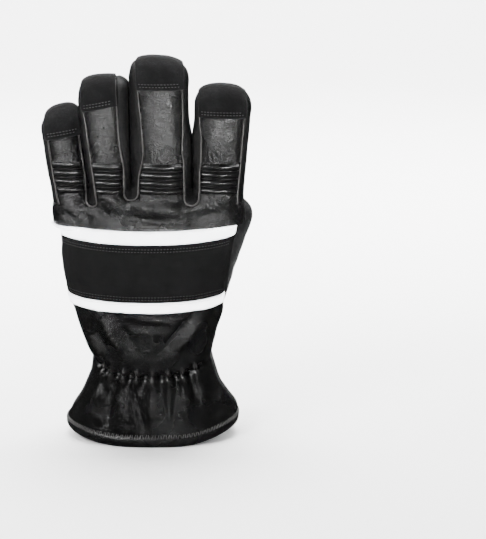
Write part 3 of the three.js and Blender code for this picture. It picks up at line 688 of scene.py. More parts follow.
# Broad ridges and hollows over the knuckles and under the lower tape: x, z, x, z, reach, height
KNUCKLE_WAVES = [
    (-34, 189, -14, 183.0, 6.0, 2.6), (-18, 184, 8, 178.5, 6.0, 2.9), (2, 180, 26, 178.5, 6.0, 2.6),
    (20, 178, 46, 185, 6.5, 2.3), (-42, 180, -16, 173.5, 5.5, -2.4), (-22, 175.0, 12, 171.0, 4.5, -2.2),
    (-12, 168, 28, 167.0, 3.2, 1.5), (-58, 186, -46, 170, 6.0, 1.3), (-50, 178, -40, 170, 5.0, -0.9),
    (30, 171.5, 54, 178, 4.5, -1.9), (44, 188, 58, 174, 5.0, 1.7), (-66, 176, -52, 166, 5.0, 0.7),
    (-26, 190.5, -18, 183, 2.6, -1.2), (6, 188.5, 20, 184.5, 2.6, -1.0), (-4, 186, 8, 189, 3.0, 0.9),
    (-10, 98, 16, 96, 3.0, 1.1), (-16, 93, 20, 91, 3.2, -1.0), (-12, 88, 10, 85.5, 3.0, 0.9),
    (-36, 100, -18, 88, 5.0, 1.2), (-24, 104, -10, 92, 4.5, -1.0), (-6, 106, 22, 104, 5.0, 1.0),
    (-26, 101, -9, 72, 4.6, -2.2), (30, 99, 7, 72, 4.6, -2.2), (-44, 94, -28, 66, 4.0, -1.6),
    (48, 94, 27, 66, 4.0, -1.6), (2, 88, 0, 66, 6.0, 1.2),
]


def gather_relief(x, level, across):
    """Puckers of the wrist, drawn in along the elastic line."""
    above = level - WRIST_Z
    pinch = -PINCH_DEPTH * np.exp(-(above / PINCH_REACH) ** 2)
    height = np.interp(above, *PUCKER_HEIGHT)
    bumps = 0.0
    for middle, reach in zip(PLEATS_X, PLEATS_REACH):
        width = reach * np.interp(above, *PUCKER_WIDTH)
        drift = middle * np.interp(above, *PUCKER_SPREAD)
        bumps = bumps + height * np.exp(-np.abs((x - drift) / width) ** PUCKER_ROUNDNESS)
    bumps = bumps - np.interp(above, *PUCKER_VALLEY)
    return (pinch + bumps) * ease(1.0 - np.abs(across), 0.0, 0.18)


def palm_gathers(x, above):
    pinch = -PALM_PINCH_DEPTH * np.exp(-(above / PALM_PINCH_REACH) ** 2)
    gathers = PALM_GATHER_HEIGHT * np.cos(x * PALM_GATHER_TURN) * np.exp(-(above / PALM_GATHER_REACH) ** 2)
    return pinch + gathers


def back_relief(x, z, level, across):
    total = gather_relief(x, level, across)
    for ax, up_a, bx, up_b, reach, height in FOLDS:
        total = total + segment_bump(x, z, ax * 0.5 * WRIST_WIDTH, WRIST_Z + up_a * HAND_HEIGHT,
                                     bx * 0.5 * WRIST_WIDTH, WRIST_Z + up_b * HAND_HEIGHT, reach, height)
    for wave in KNUCKLE_WAVES:
        total = total + segment_bump(x, z, *wave)
    return total


def relief(points, normals, edge):
    """How far the worn leather stands off the plain form. edge: distance from the panel's seam."""
    x, _, z = points.T
    mx, _, wide, _ = hand_section(z)
    level = z - side_rise(x - mx, wide, z)
    backward = -normals[:, 1]
    on_back = ease(backward, 0.1, 0.55) * ease(ROOT_Z + 18 - z, 0.0, 8.0)
    total = back_relief(x, z, level, (x - mx) / wide) * on_back
    on_palm = ease(normals[:, 1], 0.1, 0.6) * ease(WRIST_Z + 16 - z, 0.0, 16.0)
    total = total + on_palm * palm_gathers(x, level - WRIST_Z)
    total = total + unevenness(points, HAND_LUMPS, 1)
    padding = lerp(HAND_PADDING, FINGER_PADDING, ease(z, ROOT_Z + 2, ROOT_Z + 30))
    padding = padding * ease(backward, 0.0, 0.5) + PALM_PADDING
    total = total - GROOVE_DEPTH * np.exp(-(edge / GROOVE_REACH) ** 2)
    total = total + padding * (1 - np.exp(-np.minimum(edge, PADDING_REACH) / PADDING_ROUND))
    roll = ROLL_HEIGHT * np.exp(-((z - ROLL_MIDDLE) / ROLL_REACH) ** 2)
    return total + roll * ease(edge, 1.0, 8.0) * ease(backward, 0.3, 0.8)


LEAST_SLANT = 0.12


def surface_distance(value, normals, axis):
    """Turns a distance along one axis into a distance along the surface."""
    return value / np.sqrt(np.maximum(1 - normals[:, axis] ** 2, LEAST_SLANT))


# The whole skin, once fine and once coarse for the inside
SKIN_STEP = 1.0
LINING_STEP = 2.6
LINING_DEPTH = 0.85 * WALL
LINING_LIFT = 0.3
skin_points, skin_quads = sample_surface(SKIN_STEP, 0.0)
skin_faces = to_triangles(skin_quads)
skin_points = settle(relax(skin_points, skin_quads, 2), rounds=1)
inner_points, inner_quads = sample_surface(LINING_STEP, -LINING_DEPTH)
inner_faces = to_triangles(inner_quads)[:, ::-1]
inner_points = relax(inner_points, inner_quads, 1)


def hand_level(p):
    mx, _, wide, _ = hand_section(p[:, 2])
    return p[:, 2] - side_rise(p[:, 0] - mx, wide, p[:, 2])


def back_side(p):
    return split_y(p[:, 0], p[:, 2]) - p[:, 1]


def in_strip(index):
    return lambda p: strip_field(index, p[:, 0], p[:, 2])


def in_outer(side):
    return lambda p: outer_field(side, p[:, 0], p[:, 2])


THUMB_FRONT_Y = -8.0
NOT_THUMB = -10.0


def in_thumb(p):
    """Above 0 where the surface is the thumb's and not the hand's."""
    x, y, z = p.T
    body = np.minimum(hand_field(x, y, z), fingers_field(x, y, z))
    return np.where(y > THUMB_FRONT_Y, body - thumb_field(x, y, z), NOT_THUMB)


def thumb_side(p):
    return thumb_place(*p.T)[0]


def above_wrist(p):
    return hand_level(p) - WRIST_Z


def opposite(rule):
    return lambda p: -rule(p)


palm_side = opposite(back_side)
STRIP_RULES = [in_strip(0), in_strip(1), in_strip(2)]
NOT_STRIPS = [opposite(rule) for rule in STRIP_RULES]
NOT_OUTER = [opposite(in_outer(0)), opposite(in_outer(1))]

PANELS = dict(
    hand_back=[back_side, opposite(in_thumb)] + NOT_STRIPS + NOT_OUTER,
    hand_palm=[palm_side, opposite(in_thumb)] + NOT_STRIPS,
    fourchette_pinky_ring=[STRIP_RULES[0]],
    fourchette_ring_middle=[STRIP_RULES[1]],
    fourchette_middle_index=[STRIP_RULES[2]],
    side_strip_pinky=[back_side, in_outer(0)],
    side_strip_index=[back_side, in_outer(1)],
    thumb_back=[in_thumb, thumb_side],
    thumb_front=[in_thumb, opposite(thumb_side)],
)


def edge_distance(points, normals, rules):
    """Distance along the surface from the nearest seam of a panel."""
    edge = np.full(len(points), NO_EDGE)
    for rule in rules:
        axis = 1 if rule in (back_side, palm_side) else 0
        edge = np.minimum(edge, np.abs(surface_distance(rule(points), normals, axis)))
    return edge


def cut_panel(points, faces, rules):
    for rule in rules + [above_wrist]:
        points, faces = clip(points, faces, rule(points))
    return points, faces


# Making objects
def link_mesh(name, points, faces):
    """A smooth-shaded mesh object in the scene, with its points in metres."""
    mesh = bpy.data.meshes.new(name)
    mesh.from_pydata(points, [], faces)
    mesh.polygons.foreach_set("use_smooth", [True] * len(mesh.polygons))
    mesh.update()
    thing = bpy.data.objects.new(name, mesh)
    bpy.context.scene.collection.objects.link(thing)
    return thing


def make_object(name, parts, material, replaced=()):
    """One object from (points, faces) lists in millimetres."""
    points, faces, start = [], [], 0
    for part_points, part_faces in parts:
        points.append(part_points)
        faces.extend((np.asarray(part_faces) + start).tolist())
        start += len(part_points)
    points = np.concatenate(points) + np.array([HEM_CENTRE_X, HEM_CENTRE_Y, 0.0])
    piece = link_mesh(name, (points * 0.001).tolist(), faces)
    piece.data.materials.append(material)
    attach(piece, "root")
    if replaced:
        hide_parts(*replaced)


def border_edges(faces):
    edges = triangle_edges(faces)
    key = np.sort(edges, axis=1)
    _, first, count = np.unique(key, axis=0, return_index=True, return_counts=True)
    return edges[first[count == 1]]


def refine(points, faces):
    """Splits each triangle into four."""
    edges = np.sort(triangle_edges(faces), axis=1)
    edges, inverse = np.unique(edges, axis=0, return_inverse=True)
    inverse = inverse.ravel()
    middles = 0.5 * (points[edges[:, 0]] + points[edges[:, 1]])
    n = len(faces)
    ab, bc, ca = (inverse[:n] + len(points), inverse[n:2 * n] + len(points), inverse[2 * n:] + len(points))
    a, b, c = faces.T
    faces = np.concatenate([np.stack(f, 1) for f in ((a, ab, ca), (ab, b, bc), (ca, bc, c), (ab, bc, ca))])
    return np.concatenate([points, middles]), faces


PATCH_MARGIN = 2.5
ROUND_EDGE = 0.8


def laid_patch(rules, rounds, low, high):
    """A fine copy of the skin inside rules. low, high: corners of a box around it."""
    p = skin_points
    near = np.all((p > np.array(low) - 2) & (p < np.array(high) + 2), axis=1)
    for rule in rules:
        near[near] &= rule(p[near]) > -PATCH_MARGIN
    points, faces = without_spares(p, skin_faces[near[skin_faces].all(1)])
    for _ in range(rounds):
        points, faces = refine(points, faces)
        points = settle(points, rounds=2)
    for rule in rules:
        points, faces = clip(points, faces, rule(points))
    normals, _ = slope(points)
    edge = np.minimum(np.min([rule(points) for rule in rules], axis=0), NO_EDGE)
    return points, faces, normals, np.maximum(edge, 0.0)


def raised(points, faces, normals, edge, height, sink=0.5, foot_share=0.25):
    """A patch lifted off the skin by height, with walls down to the skin all round."""
    base = relief(points, normals, np.full(len(points), NO_EDGE))
    share = np.clip(edge / ROUND_EDGE, 0.0, 1.0)
    lift = base + GAP + height * lerp(foot_share, 1.0, np.sqrt(np.maximum(1 - (1 - share) ** 2, 0.0)))
    top = points + normals * lift[:, None]
    foot = points + normals * (base - sink)[:, None]
    walls = border_edges(faces)
    n = len(points)
    quads = np.stack([walls[:, 1], walls[:, 0], walls[:, 0] + n, walls[:, 1] + n], 1)
    return without_spares(np.concatenate([top, foot]), np.concatenate([faces, to_triangles(quads)]))


BACK_SEARCH = (-75.0, 5.0, 90)


def skin_at(x, z):
    """Points on the back of the skin at given x and z."""
    steps = np.linspace(*BACK_SEARCH)
    hit = np.full(len(x), np.nan)
    before = glove_field(x, np.full(len(x), steps[0]), z)
    for last, here in zip(steps[:-1], steps[1:]):
        now = glove_field(x, np.full(len(x), here), z)
        found = np.isnan(hit) & (before > 0) & (now <= 0)
        share = np.where(found, before / np.where(found, before - now, 1.0), 0.0)
        hit = np.where(found, last + share * (here - last), hit)
        before = now
    good = ~np.isnan(hit)
    return settle(np.stack([x[good], hit[good], z[good]], 1), rounds=2)


def tube(path, normals, radius, lift, sides=6):
    """A round strand along a path that lies on the skin."""
    tangent = np.gradient(path, axis=0)
    tangent /= np.maximum(np.linalg.norm(tangent, axis=1), 1e-9)[:, None]
    cross = np.cross(tangent, normals)
    cross /= np.maximum(np.linalg.norm(cross, axis=1), 1e-9)[:, None]
    up = np.cross(cross, tangent)
    radius = np.broadcast_to(radius, len(path))
    rings = []
    for k in range(sides):
        angle = 2 * math.pi * k / sides
        rings.append(path + up * (lift + radius * math.sin(angle))[:, None]
                     + cross * (radius * math.cos(angle))[:, None])
    points = np.stack(rings, 1).reshape(-1, 3)
    faces = []
    for row in range(len(path) - 1):
        for k in range(sides):
            a, b = row * sides + k, row * sides + (k + 1) % sides
            faces.append((a, b, b + sides))
            faces.append((a, b + sides, a + sides))
    for ring, flip in ((0, False), (len(path) - 1, True)):
        for k in range(1, sides - 1):
            tri = (ring * sides, ring * sides + k + 1, ring * sides + k)
            faces.append(tri[::-1] if flip else tri)
    return points, np.array(faces)


# One stitch: places along it, and its rise and thickness there
STITCH_AT = np.array([0.0, 0.2, 0.5, 0.8, 1.0])
STITCH_RISE = np.array([-1.2, 0.1, 0.4, 0.1, -1.2])
STITCH_THICKNESS = np.array([0.5, 0.95, 1.0, 0.95, 0.5])
STITCH_SIDES = 5


def stitches(path, normals, length, pitch, radius, lift):
    """Separate short strands along a path."""
    steps = np.linalg.norm(np.diff(path, axis=0), axis=1)
    along = np.concatenate([[0.0], np.cumsum(steps)])
    count = int(along[-1] / pitch)
    parts = []
    for k in range(count):
        start = (k + 0.5) * pitch - 0.5 * length
        at = start + length * STITCH_AT
        p = np.stack([np.interp(at, along, path[:, c]) for c in range(3)], 1)
        n = np.stack([np.interp(at, along, normals[:, c]) for c in range(3)], 1)
        n /= np.linalg.norm(n, axis=1)[:, None]
        parts.append(tube(p, n, radius * STITCH_THICKNESS, lift + radius * STITCH_RISE, STITCH_SIDES))
    return parts


# Materials. A group gives a height, a mask or a normal; shaders stay in the materials.
FLOAT = "NodeSocketFloat"
VECTOR = "NodeSocketVector"


def new_group(name, inputs, outputs):
    group = bpy.data.node_groups.new(name, "ShaderNodeTree")
    for label, value in inputs.items():
        group.interface.new_socket(label, in_out="INPUT", socket_type=FLOAT).default_value = value
    for label, kind in outputs.items():
        group.interface.new_socket(label, in_out="OUTPUT", socket_type=kind)
    return group, group.nodes.new("NodeGroupInput").outputs, group.nodes.new("NodeGroupOutput")


class Net:
    """Adds and links nodes in one tree."""

    def __init__(self, tree):
        self.tree = tree

    def add(self, kind, settings=None, **links):
        node = self.tree.nodes.new("ShaderNode" + kind)
        for key, value in (settings or {}).items():
            setattr(node, key, value)
        for key, value in links.items():
            self.put(node, key, value)
        return node

    def put(self, node, key, value):
        name = key.replace("_", " ")
        if name.startswith("in "):
            socket = node.inputs[int(name[3:])]
        else:
            socket = node.inputs[name]
        if isinstance(value, bpy.types.NodeSocket):
            self.tree.links.new(value, socket)
        else:
            socket.default_value = value

    def math(self, operation, a, b=0.0):
        return self.add("Math", dict(operation=operation), in_0=a, in_1=b).outputs[0]

    def times(self, a, b):
        return self.math("MULTIPLY", a, b)

    def plus(self, a, b):
        return self.math("ADD", a, b)

    def ramp(self, value, low, high):
        """A soft step from 0 at low to 1 at high."""
        node = self.add("MapRange", dict(interpolation_type="SMOOTHSTEP"), Value=value, From_Min=low,
                        From_Max=high)
        return node.outputs[0]

    def noise(self, place, scale, detail=2.0, roughness=0.5, distortion=0.0):
        node = self.add("TexNoise", Vector=place, Scale=scale, Detail=detail, Roughness=roughness,
                        Distortion=distortion)
        return node.outputs["Fac"]

    def bent(self, place, scale, detail, reach):
        """The place, pushed about by a noise as far as reach."""
        node = self.add("TexNoise", Vector=place, Scale=scale, Detail=detail)
        return self.add("VectorMath", dict(operation="MULTIPLY_ADD"), in_0=node.outputs["Color"],
                        in_1=(reach, reach, reach), in_2=place).outputs[0]

    def stretched(self, place, scale, turn=0.0):
        return self.add("Mapping", Vector=place, Rotation=(0.0, turn, 0.0), Scale=scale).outputs[0]

    def object_place(self):
        return self.add("TexCoord").outputs["Object"]

    def bump(self, height):
        return self.add("Bump", Strength=1.0, Distance=1.0, Height=height).outputs["Normal"]

    def mix(self, share, a, b):
        node = self.add("Mix", dict(data_type="RGBA"))
        self.put(node, "in_0", share)
        self.put(node, "in_6", a)
        self.put(node, "in_7", b)
        return node.outputs[2]


# Heights of the hide's grain, of suede, of cloth and of the tape's beads, in metres
PEBBLE_DEPTH = 0.00006
CREASE_DEPTH = 0.0001
CRUMPLE_DEPTH = 0.0003
WRINKLE_DEPTH = 0.0009
UPRIGHT_DEPTH = 0.00035
FIBRE_DEPTH = 0.00022
CLUMP_DEPTH = 0.0004
YARN_DEPTH = 0.00022
BEAD_DEPTH = 0.00008
MOTTLE_DEPTH = 0.00016
TWIST_DEPTH = 0.0001


def crease_lines(net, place, stretch, scale, detail):
    """0 along winding lines, 1 between them."""
    noise = net.noise(net.stretched(place, stretch), scale, detail, 0.62, 0.6)
    return net.ramp(net.math("ABSOLUTE", net.math("SUBTRACT", noise, 0.5)), 0.0, 0.13)


def upright_wrinkles(net, place, bent):
    """Short upright wrinkles of the hide just above the knuckle ribs."""
    wrinkles = net.ramp(net.noise(net.stretched(bent, (1.0, 1.0, 0.14)), 560.0), 0.3, 0.7)
    level = net.add("SeparateXYZ", Vector=place).outputs["Z"]
    from_ribs = net.ramp(level, 0.001 * (PAD_HIGH - 2.0), 0.001 * PAD_HIGH)
    fading = net.ramp(level, 0.001 * (PAD_HIGH + 18.5), 0.001 * (PAD_HIGH + 4.5))
    return net.times(wrinkles, net.times(from_ribs, fading))


def grain_group():
    """Pebbled hide with creases: normal, and masks for the pores and the creases."""
    group, given, result = new_group("leather_grain", dict(Pebble=1.0, Creases=1.0, Crumple=1.0),
                                     dict(Normal=VECTOR, Pores=FLOAT, Crease=FLOAT, Blotch=FLOAT))
    net = Net(group)
    place = net.object_place()
    bent = net.bent(place, 90.0, 2.0, 0.004)
    pebble = net.add("TexVoronoi", dict(feature="DISTANCE_TO_EDGE"), Vector=bent, Scale=820.0,
                     Randomness=0.95)
    pores = net.ramp(pebble.outputs["Distance"], 0.0, 0.32)
    lines = net.times(crease_lines(net, bent, (1.0, 1.0, 0.45), 420.0, 3.0),
                      crease_lines(net, bent, (0.8, 1.0, 1.5), 190.0, 4.0))
    crumple = net.noise(place, 190.0, 3.0, 0.45, 0.4)
    wrinkles = net.noise(net.stretched(bent, (0.7, 1.0, 0.95), 0.6), 620.0, 3.0, 0.55, 0.5)
    height = net.times(net.times(pores, given["Pebble"]), PEBBLE_DEPTH)
    height = net.plus(height, net.times(net.times(lines, given["Creases"]), CREASE_DEPTH))
    height = net.plus(height, net.times(net.times(crumple, given["Crumple"]), CRUMPLE_DEPTH))
    height = net.plus(height, net.times(net.times(wrinkles, given["Creases"]), WRINKLE_DEPTH))
    height = net.plus(height, net.times(upright_wrinkles(net, place, bent), UPRIGHT_DEPTH))
    net.put(result, "Normal", net.bump(height))
    net.put(result, "Pores", pores)
    net.put(result, "Crease", lines)
    net.put(result, "Blotch", net.ramp(net.noise(place, 28.0, 3.0), 0.35, 0.65))
    return group


def nap_group():
    """Napped suede: short fibres and brushed patches."""
    group, given, result = new_group("suede_nap", dict(Nap=1.0),
                                     dict(Normal=VECTOR, Brushed=FLOAT, Fibre=FLOAT))
    net = Net(group)
    place = net.object_place()
    height = net.plus(net.times(net.noise(place, 1700.0, 3.0, 0.7), FIBRE_DEPTH),
                      net.times(net.noise(place, 420.0, 3.0, 0.6), CLUMP_DEPTH))
    net.put(result, "Normal", net.bump(net.times(height, given["Nap"])))
    net.put(result, "Brushed", net.ramp(net.noise(place, 55.0, 4.0, 0.6, 0.8), 0.35, 0.68))
    net.put(result, "Fibre", net.ramp(net.noise(place, 760.0, 2.0, 0.6), 0.38, 0.62))
    return group


def weave_group():
    """Plain weave of thick yarn: normal and a mask that is high on the yarns."""
    group, given, result = new_group("cloth_weave", dict(Pitch=900.0), dict(Normal=VECTOR, Yarn=FLOAT))
    net = Net(group)
    parts = net.add("SeparateXYZ", Vector=net.bent(net.object_place(), 300.0, 1.0, 0.0006))
    turns = net.times(given["Pitch"], 2 * math.pi)
    across, upward = [net.math("SINE", net.times(parts.outputs[axis], turns)) for axis in ("X", "Z")]
    yarn = net.ramp(net.times(across, upward), -0.9, 0.9)
    net.put(result, "Normal", net.bump(net.times(yarn, YARN_DEPTH)))
    net.put(result, "Yarn", yarn)
    return group


def wear_group():
    """Where a raised edge is rubbed pale, and where dust lies in a hollow."""
    group, given, result = new_group("edge_wear", dict(Sharpness=1.0), dict(Rubbed=FLOAT, Dust=FLOAT))
    net = Net(group)
    shape = net.add("NewGeometry").outputs["Pointiness"]
    broken = net.noise(net.object_place(), 210.0, 4.0, 0.6)
    high = net.ramp(net.plus(shape, net.times(broken, 0.03)), 0.515, 0.56)
    net.put(result, "Rubbed", net.times(high, given["Sharpness"]))
    net.put(result, "Dust", net.ramp(net.plus(shape, net.times(broken, 0.02)), 0.5, 0.46))
    return group


GRAIN, NAP, WEAVE, WEAR = grain_group(), nap_group(), weave_group(), wear_group()


def new_material(name, roughness, specular, sheen=0.0):
    material = bpy.data.materials.new(name)
    material.use_nodes = True
    net = Net(material.node_tree)
    shader = material.node_tree.nodes["Principled BSDF"]
    net.put(shader, "Roughness", roughness)
    net.put(shader, "Specular_IOR_Level", specular)
    net.put(shader, "Sheen_Weight", sheen)
    net.put(shader, "Sheen_Roughness", 0.5)
    return material, net, shader


def use_group(net, group, **values):
    node = net.tree.nodes.new("ShaderNodeGroup")
    node.node_tree = group
    for key, value in values.items():
        net.put(node, key, value)
    return node.outputs


PORE_COLOUR = (0.004, 0.004, 0.004, 1)
TAPE_GREY = (0.72, 0.74, 0.76, 1)
TAPE_WHITE = (0.93, 0.94, 0.95, 1)
# Strength of the tape's painted glow: the tape gives off light though it is no lamp
TAPE_PAINTED_GLOW = 3.5


def leather(name, dark, light, rubbed, rough, creases=1.0, crumple=1.0, pebble=1.0, specular=0.5):
    """Smooth black hide: darker pores, paler rubbed ridges, roughness that follows the grain."""
    material, net, shader = new_material(name, rough, specular)
    grain = use_group(net, GRAIN, Pebble=pebble, Creases=creases, Crumple=crumple)
    wear = use_group(net, WEAR, Sharpness=1.0)
    colour = net.mix(grain["Blotch"], dark, light)
    colour = net.mix(net.times(wear["Rubbed"], 0.8), colour, rubbed)
    pores = net.times(grain["Pores"], grain["Crease"])
    net.put(shader, "Base_Color", net.mix(net.plus(net.times(pores, 0.5), 0.5), PORE_COLOUR, colour))
    roughness = net.plus(net.times(grain["Blotch"], 0.1), rough - 0.05)
    net.put(shader, "Roughness", net.plus(roughness, net.times(wear["Dust"], 0.12)))
    net.put(shader, "Normal", grain["Normal"])
    return material


def suede(name, dark, light):
    """Dark napped suede with brushed patches and single paler fibres."""
    material, net, shader = new_material(name, 0.95, 0.08, 0.04)
    nap = use_group(net, NAP, Nap=1.0)
    wear = use_group(net, WEAR, Sharpness=1.0)
    colour = net.mix(nap["Brushed"], dark, light)
    colour = net.mix(net.times(nap["Fibre"], 0.6), colour, dark)
    net.put(shader, "Base_Color", net.mix(net.times(wear["Rubbed"], 0.5), colour, light))
    net.put(shader, "Roughness", net.plus(net.times(nap["Brushed"], 0.08), 0.88))
    net.put(shader, "Normal", nap["Normal"])
    return material


def cloth(name, dark, light, pitch, rough, specular):
    """Woven cloth with a light nap. pitch: yarns a metre."""
    material, net, shader = new_material(name, rough, specular)
    weave = use_group(net, WEAVE, Pitch=pitch)
    nap = use_group(net, NAP, Nap=0.5)
    colour = net.mix(weave["Yarn"], dark, light)
    net.put(shader, "Base_Color", net.mix(net.times(nap["Brushed"], 0.4), colour, dark))
    net.put(shader, "Roughness", net.plus(net.times(weave["Yarn"], 0.08), rough - 0.04))
    net.put(shader, "Normal", weave["Normal"])
    return material


def reflective(name):
    """Glass-beaded tape, faintly mottled, with fine creases; it is made bright by a painted glow that shines
    like a lamp, though the tape is none.
    """
    material, net, shader = new_material(name, 0.5, 0.4)
    place = net.object_place()
    beads = net.add("TexVoronoi", Vector=place, Scale=1500.0).outputs["Distance"]
    mottle = net.noise(place, 240.0, 4.0, 0.7)
    smudge = net.times(net.noise(place, 40.0), 0.5)
    colour = net.mix(net.ramp(net.plus(mottle, smudge), 0.55, 0.95), TAPE_GREY, TAPE_WHITE)
    net.put(shader, "Base_Color", colour)
    net.put(shader, "Roughness", net.plus(net.times(mottle, 0.2), 0.4))
    height = net.plus(net.times(beads, BEAD_DEPTH), net.times(mottle, MOTTLE_DEPTH))
    net.put(shader, "Normal", net.bump(height))
    # Painted glow: the tape emits light of its own colour, standing in for the light its beads throw back
    net.put(shader, "Emission_Color", colour)
    net.put(shader, "Emission_Strength", TAPE_PAINTED_GLOW)
    return material


def thread(name, dark, light):
    """Twisted sewing thread."""
    material, net, shader = new_material(name, 0.6, 0.3)
    twist = net.add("TexWave", dict(bands_direction="DIAGONAL"), Vector=net.object_place(), Scale=900.0,
                    Distortion=2.0).outputs["Fac"]
    net.put(shader, "Base_Color", net.mix(twist, dark, light))
    net.put(shader, "Normal", net.bump(net.times(twist, TWIST_DEPTH)))
    return material


black_hide = leather("black_hide", (0.0012, 0.0012, 0.0012, 1), (0.0024, 0.0024, 0.0023, 1),
                     (0.016, 0.015, 0.014, 1), 0.28)
cuff_hide = leather("cuff_hide", (0.001, 0.001, 0.001, 1), (0.0018, 0.0018, 0.0017, 1),
                    (0.012, 0.0115, 0.011, 1), 0.24, creases=0.35, crumple=0.35)
# Hide of the strips between and beside the fingers: darker than the back's hide as painted shade, and rougher
# and less glossy
side_hide_painted_shade = leather("side_hide_painted_shade", (0.001, 0.001, 0.001, 1), (0.0018, 0.0018, 0.0018, 1),
                    (0.005, 0.005, 0.005, 1), 0.55, creases=0.6, crumple=0.5, specular=0.14)
rib_hide = leather("rib_hide", (0.0008, 0.0008, 0.0008, 1), (0.0015, 0.0015, 0.0015, 1),
                   (0.008, 0.0076, 0.0072, 1), 0.22, creases=0.25, crumple=0.2, pebble=0.4)
# Hide of the seam lips, pale grey as a painted highlight along the raised seams
seam_hide_painted_highlight = leather("seam_hide_painted_highlight", (0.05, 0.048, 0.046, 1), (0.1, 0.096, 0.092, 1),
                    (0.16, 0.155, 0.15, 1), 0.36, creases=0.4, crumple=0.3, pebble=0.5)
hem_hide = leather("hem_hide", (0.0012, 0.0012, 0.0012, 1), (0.0022, 0.0022, 0.0021, 1),
                   (0.01, 0.0095, 0.009, 1), 0.28, creases=0.5, crumple=0.35)
palm_suede = suede("palm_suede", (0.0036, 0.0037, 0.0038, 1), (0.0098, 0.0099, 0.0102, 1))
cap_suede = suede("cap_suede", (0.0014, 0.0014, 0.0015, 1), (0.0052, 0.0053, 0.0055, 1))
band_weave = cloth("band_weave", (0.0024, 0.0024, 0.0025, 1), (0.0068, 0.0068, 0.0071, 1), 1150.0, 0.85, 0.12)
tape_beads_painted_glow = reflective("tape_beads_painted_glow")
hem_thread = thread("hem_thread", (0.03, 0.0295, 0.029, 1), (0.1, 0.099, 0.096, 1))
dark_thread = thread("dark_thread", (0.012, 0.012, 0.0123, 1), (0.042, 0.0415, 0.041, 1))
pale_thread = thread("pale_thread", (0.3, 0.3, 0.3, 1), (0.6, 0.6, 0.6, 1))

# The strips between and beside the fingers take the darker hide, a painted shade
PANEL_LOOKS = dict(
    hand_back=(black_hide, "leather"), hand_palm=(palm_suede, "suede"),
    fourchette_pinky_ring=(side_hide_painted_shade, "leather"), fourchette_ring_middle=(side_hide_painted_shade, "leather"),
    fourchette_middle_index=(side_hide_painted_shade, "leather"), side_strip_pinky=(side_hide_painted_shade, "leather"),
    side_strip_index=(side_hide_painted_shade, "leather"), thumb_back=(palm_suede, "suede"),
    thumb_front=(palm_suede, "suede"),
)


# The panels of the hand
def make_panel(name, rules):
    """A panel of the skin with its relief, and the wall's inner side behind it."""
    outer, outer_faces = cut_panel(skin_points, skin_faces, rules)
    normals, _ = slope(outer)
    outer = outer + normals * relief(outer, normals, edge_distance(outer, normals, rules))[:, None]
    inside, inside_faces = cut_panel(inner_points, inner_faces, rules)
    inside_normals, _ = slope(inside)
    lift = np.minimum(relief(inside, inside_normals, np.full(len(inside), NO_EDGE)), LINING_LIFT)
    inside = inside + inside_normals * lift[:, None]
    material, slot_name = PANEL_LOOKS[name]
    make_object(name, [(outer, outer_faces), (inside, inside_faces)], material, (name,))


for name, rules in PANELS.items():
    make_panel(name, rules)


# The cuff: grids round the wrist, from side seam to side seam
def cuff_section(z):
    up = np.clip(z / CUFF_HEIGHT, 0.0, 1.0)
    wide = 0.5 * (WRIST_WIDTH + cuff_wide(up) * (CUFF_WIDTH - WRIST_WIDTH))
    deep = 0.5 * (WRIST_DEPTH + cuff_deep(up) * (CUFF_DEPTH - WRIST_DEPTH))
    squareness = lerp(CUFF_SQUARENESS, HAND_SQUARENESS, np.clip(z / WRIST_Z, 0.0, 1.0))
    return cuff_mx(up) * WRIST_WIDTH, cuff_my(up) * WRIST_DEPTH, wide, deep, squareness


def cuff_point(angle, z, grow):
    """A point of the cuff's skin and the section's share across, before its pleats."""
    mx, my, wide, deep, squareness = cuff_section(z)
    c, s = np.cos(angle), np.sin(angle)
    x = (wide + grow) * np.sign(c) * np.abs(c) ** (2 / squareness)
    y = (deep + grow) * np.sign(s) * np.abs(s) ** (2 / squareness)
    rise = side_rise(x, wide + grow, z)
    return np.stack([mx + x, my + y, z + rise], -1), x / wide


CUFF_GROOVE_DEPTH = 0.75
CUFF_GROOVE_REACH = 1.1
CUFF_PADDING = 0.35
CUFF_PADDING_ROUND = 4.0
CUFF_LUMPS = (0.35, 0.18, 0.08)
CUFF_ROWS, CUFF_COLUMNS = 56, 230
LINING_ROWS, LINING_COLUMNS = 20, 90
PALM_WAVE_TURN = 0.2
PALM_WAVE_START = 0.5
CUFF_TUCK = 1.5
LINING_TUCK = 2.5
LINING_RISE = 2.0

# Folds of the cuff's back: x, z, x, z, reach, height
CUFF_FOLDS = [
    (-36, 44, -47, 12, 6.5, 2.6), (-46, 44, -58, 18, 4.0, -1.4), (-21, 40, -24, 12, 5.5, 1.3),
    (-28, 44, -34, 10, 4.0, -1.9), (-11, 42, -6, 10, 4.2, -1.7), (-2, 40, 2, 12, 5.5, 0.9),
    (8, 42, 12, 18, 2.2, -0.7), (17, 42, 16, 12, 3.4, -0.9), (23, 40, 27, 12, 6.0, 1.2),
    (34, 46, 41, 24, 4.5, 2.0), (39, 42, 50, 12, 5.0, -1.5), (46, 40, 56, 18, 5.0, 1.3),
    (-3, 24, 12, 22, 2.6, 0.5), (24, 26, 36, 31, 2.4, 0.7),
]


def cuff_relief(points, z, across, normals):
    """How far the cuff's folds, puckers and pleats stand off its plain form."""
    x = points[:, 0]
    back = ease(-normals[:, 1], 0.05, 0.4)
    total = gather_relief(x, z, across) * back
    for fold in CUFF_FOLDS:
        total = total + segment_bump(x, z, *fold) * back
    front = ease(normals[:, 1], 0.05, 0.5)
    waves = np.cos(x * PALM_WAVE_TURN + PALM_WAVE_START) * ease(z, 12, 30) * ease(WRIST_Z - z, 0, 10)
    total = total + front * (palm_gathers(x, z - WRIST_Z) + waves)
    return total * ease(z, HEM_HEIGHT - 2.0, HEM_HEIGHT + 8.0) + unevenness(points, CUFF_LUMPS, 4)


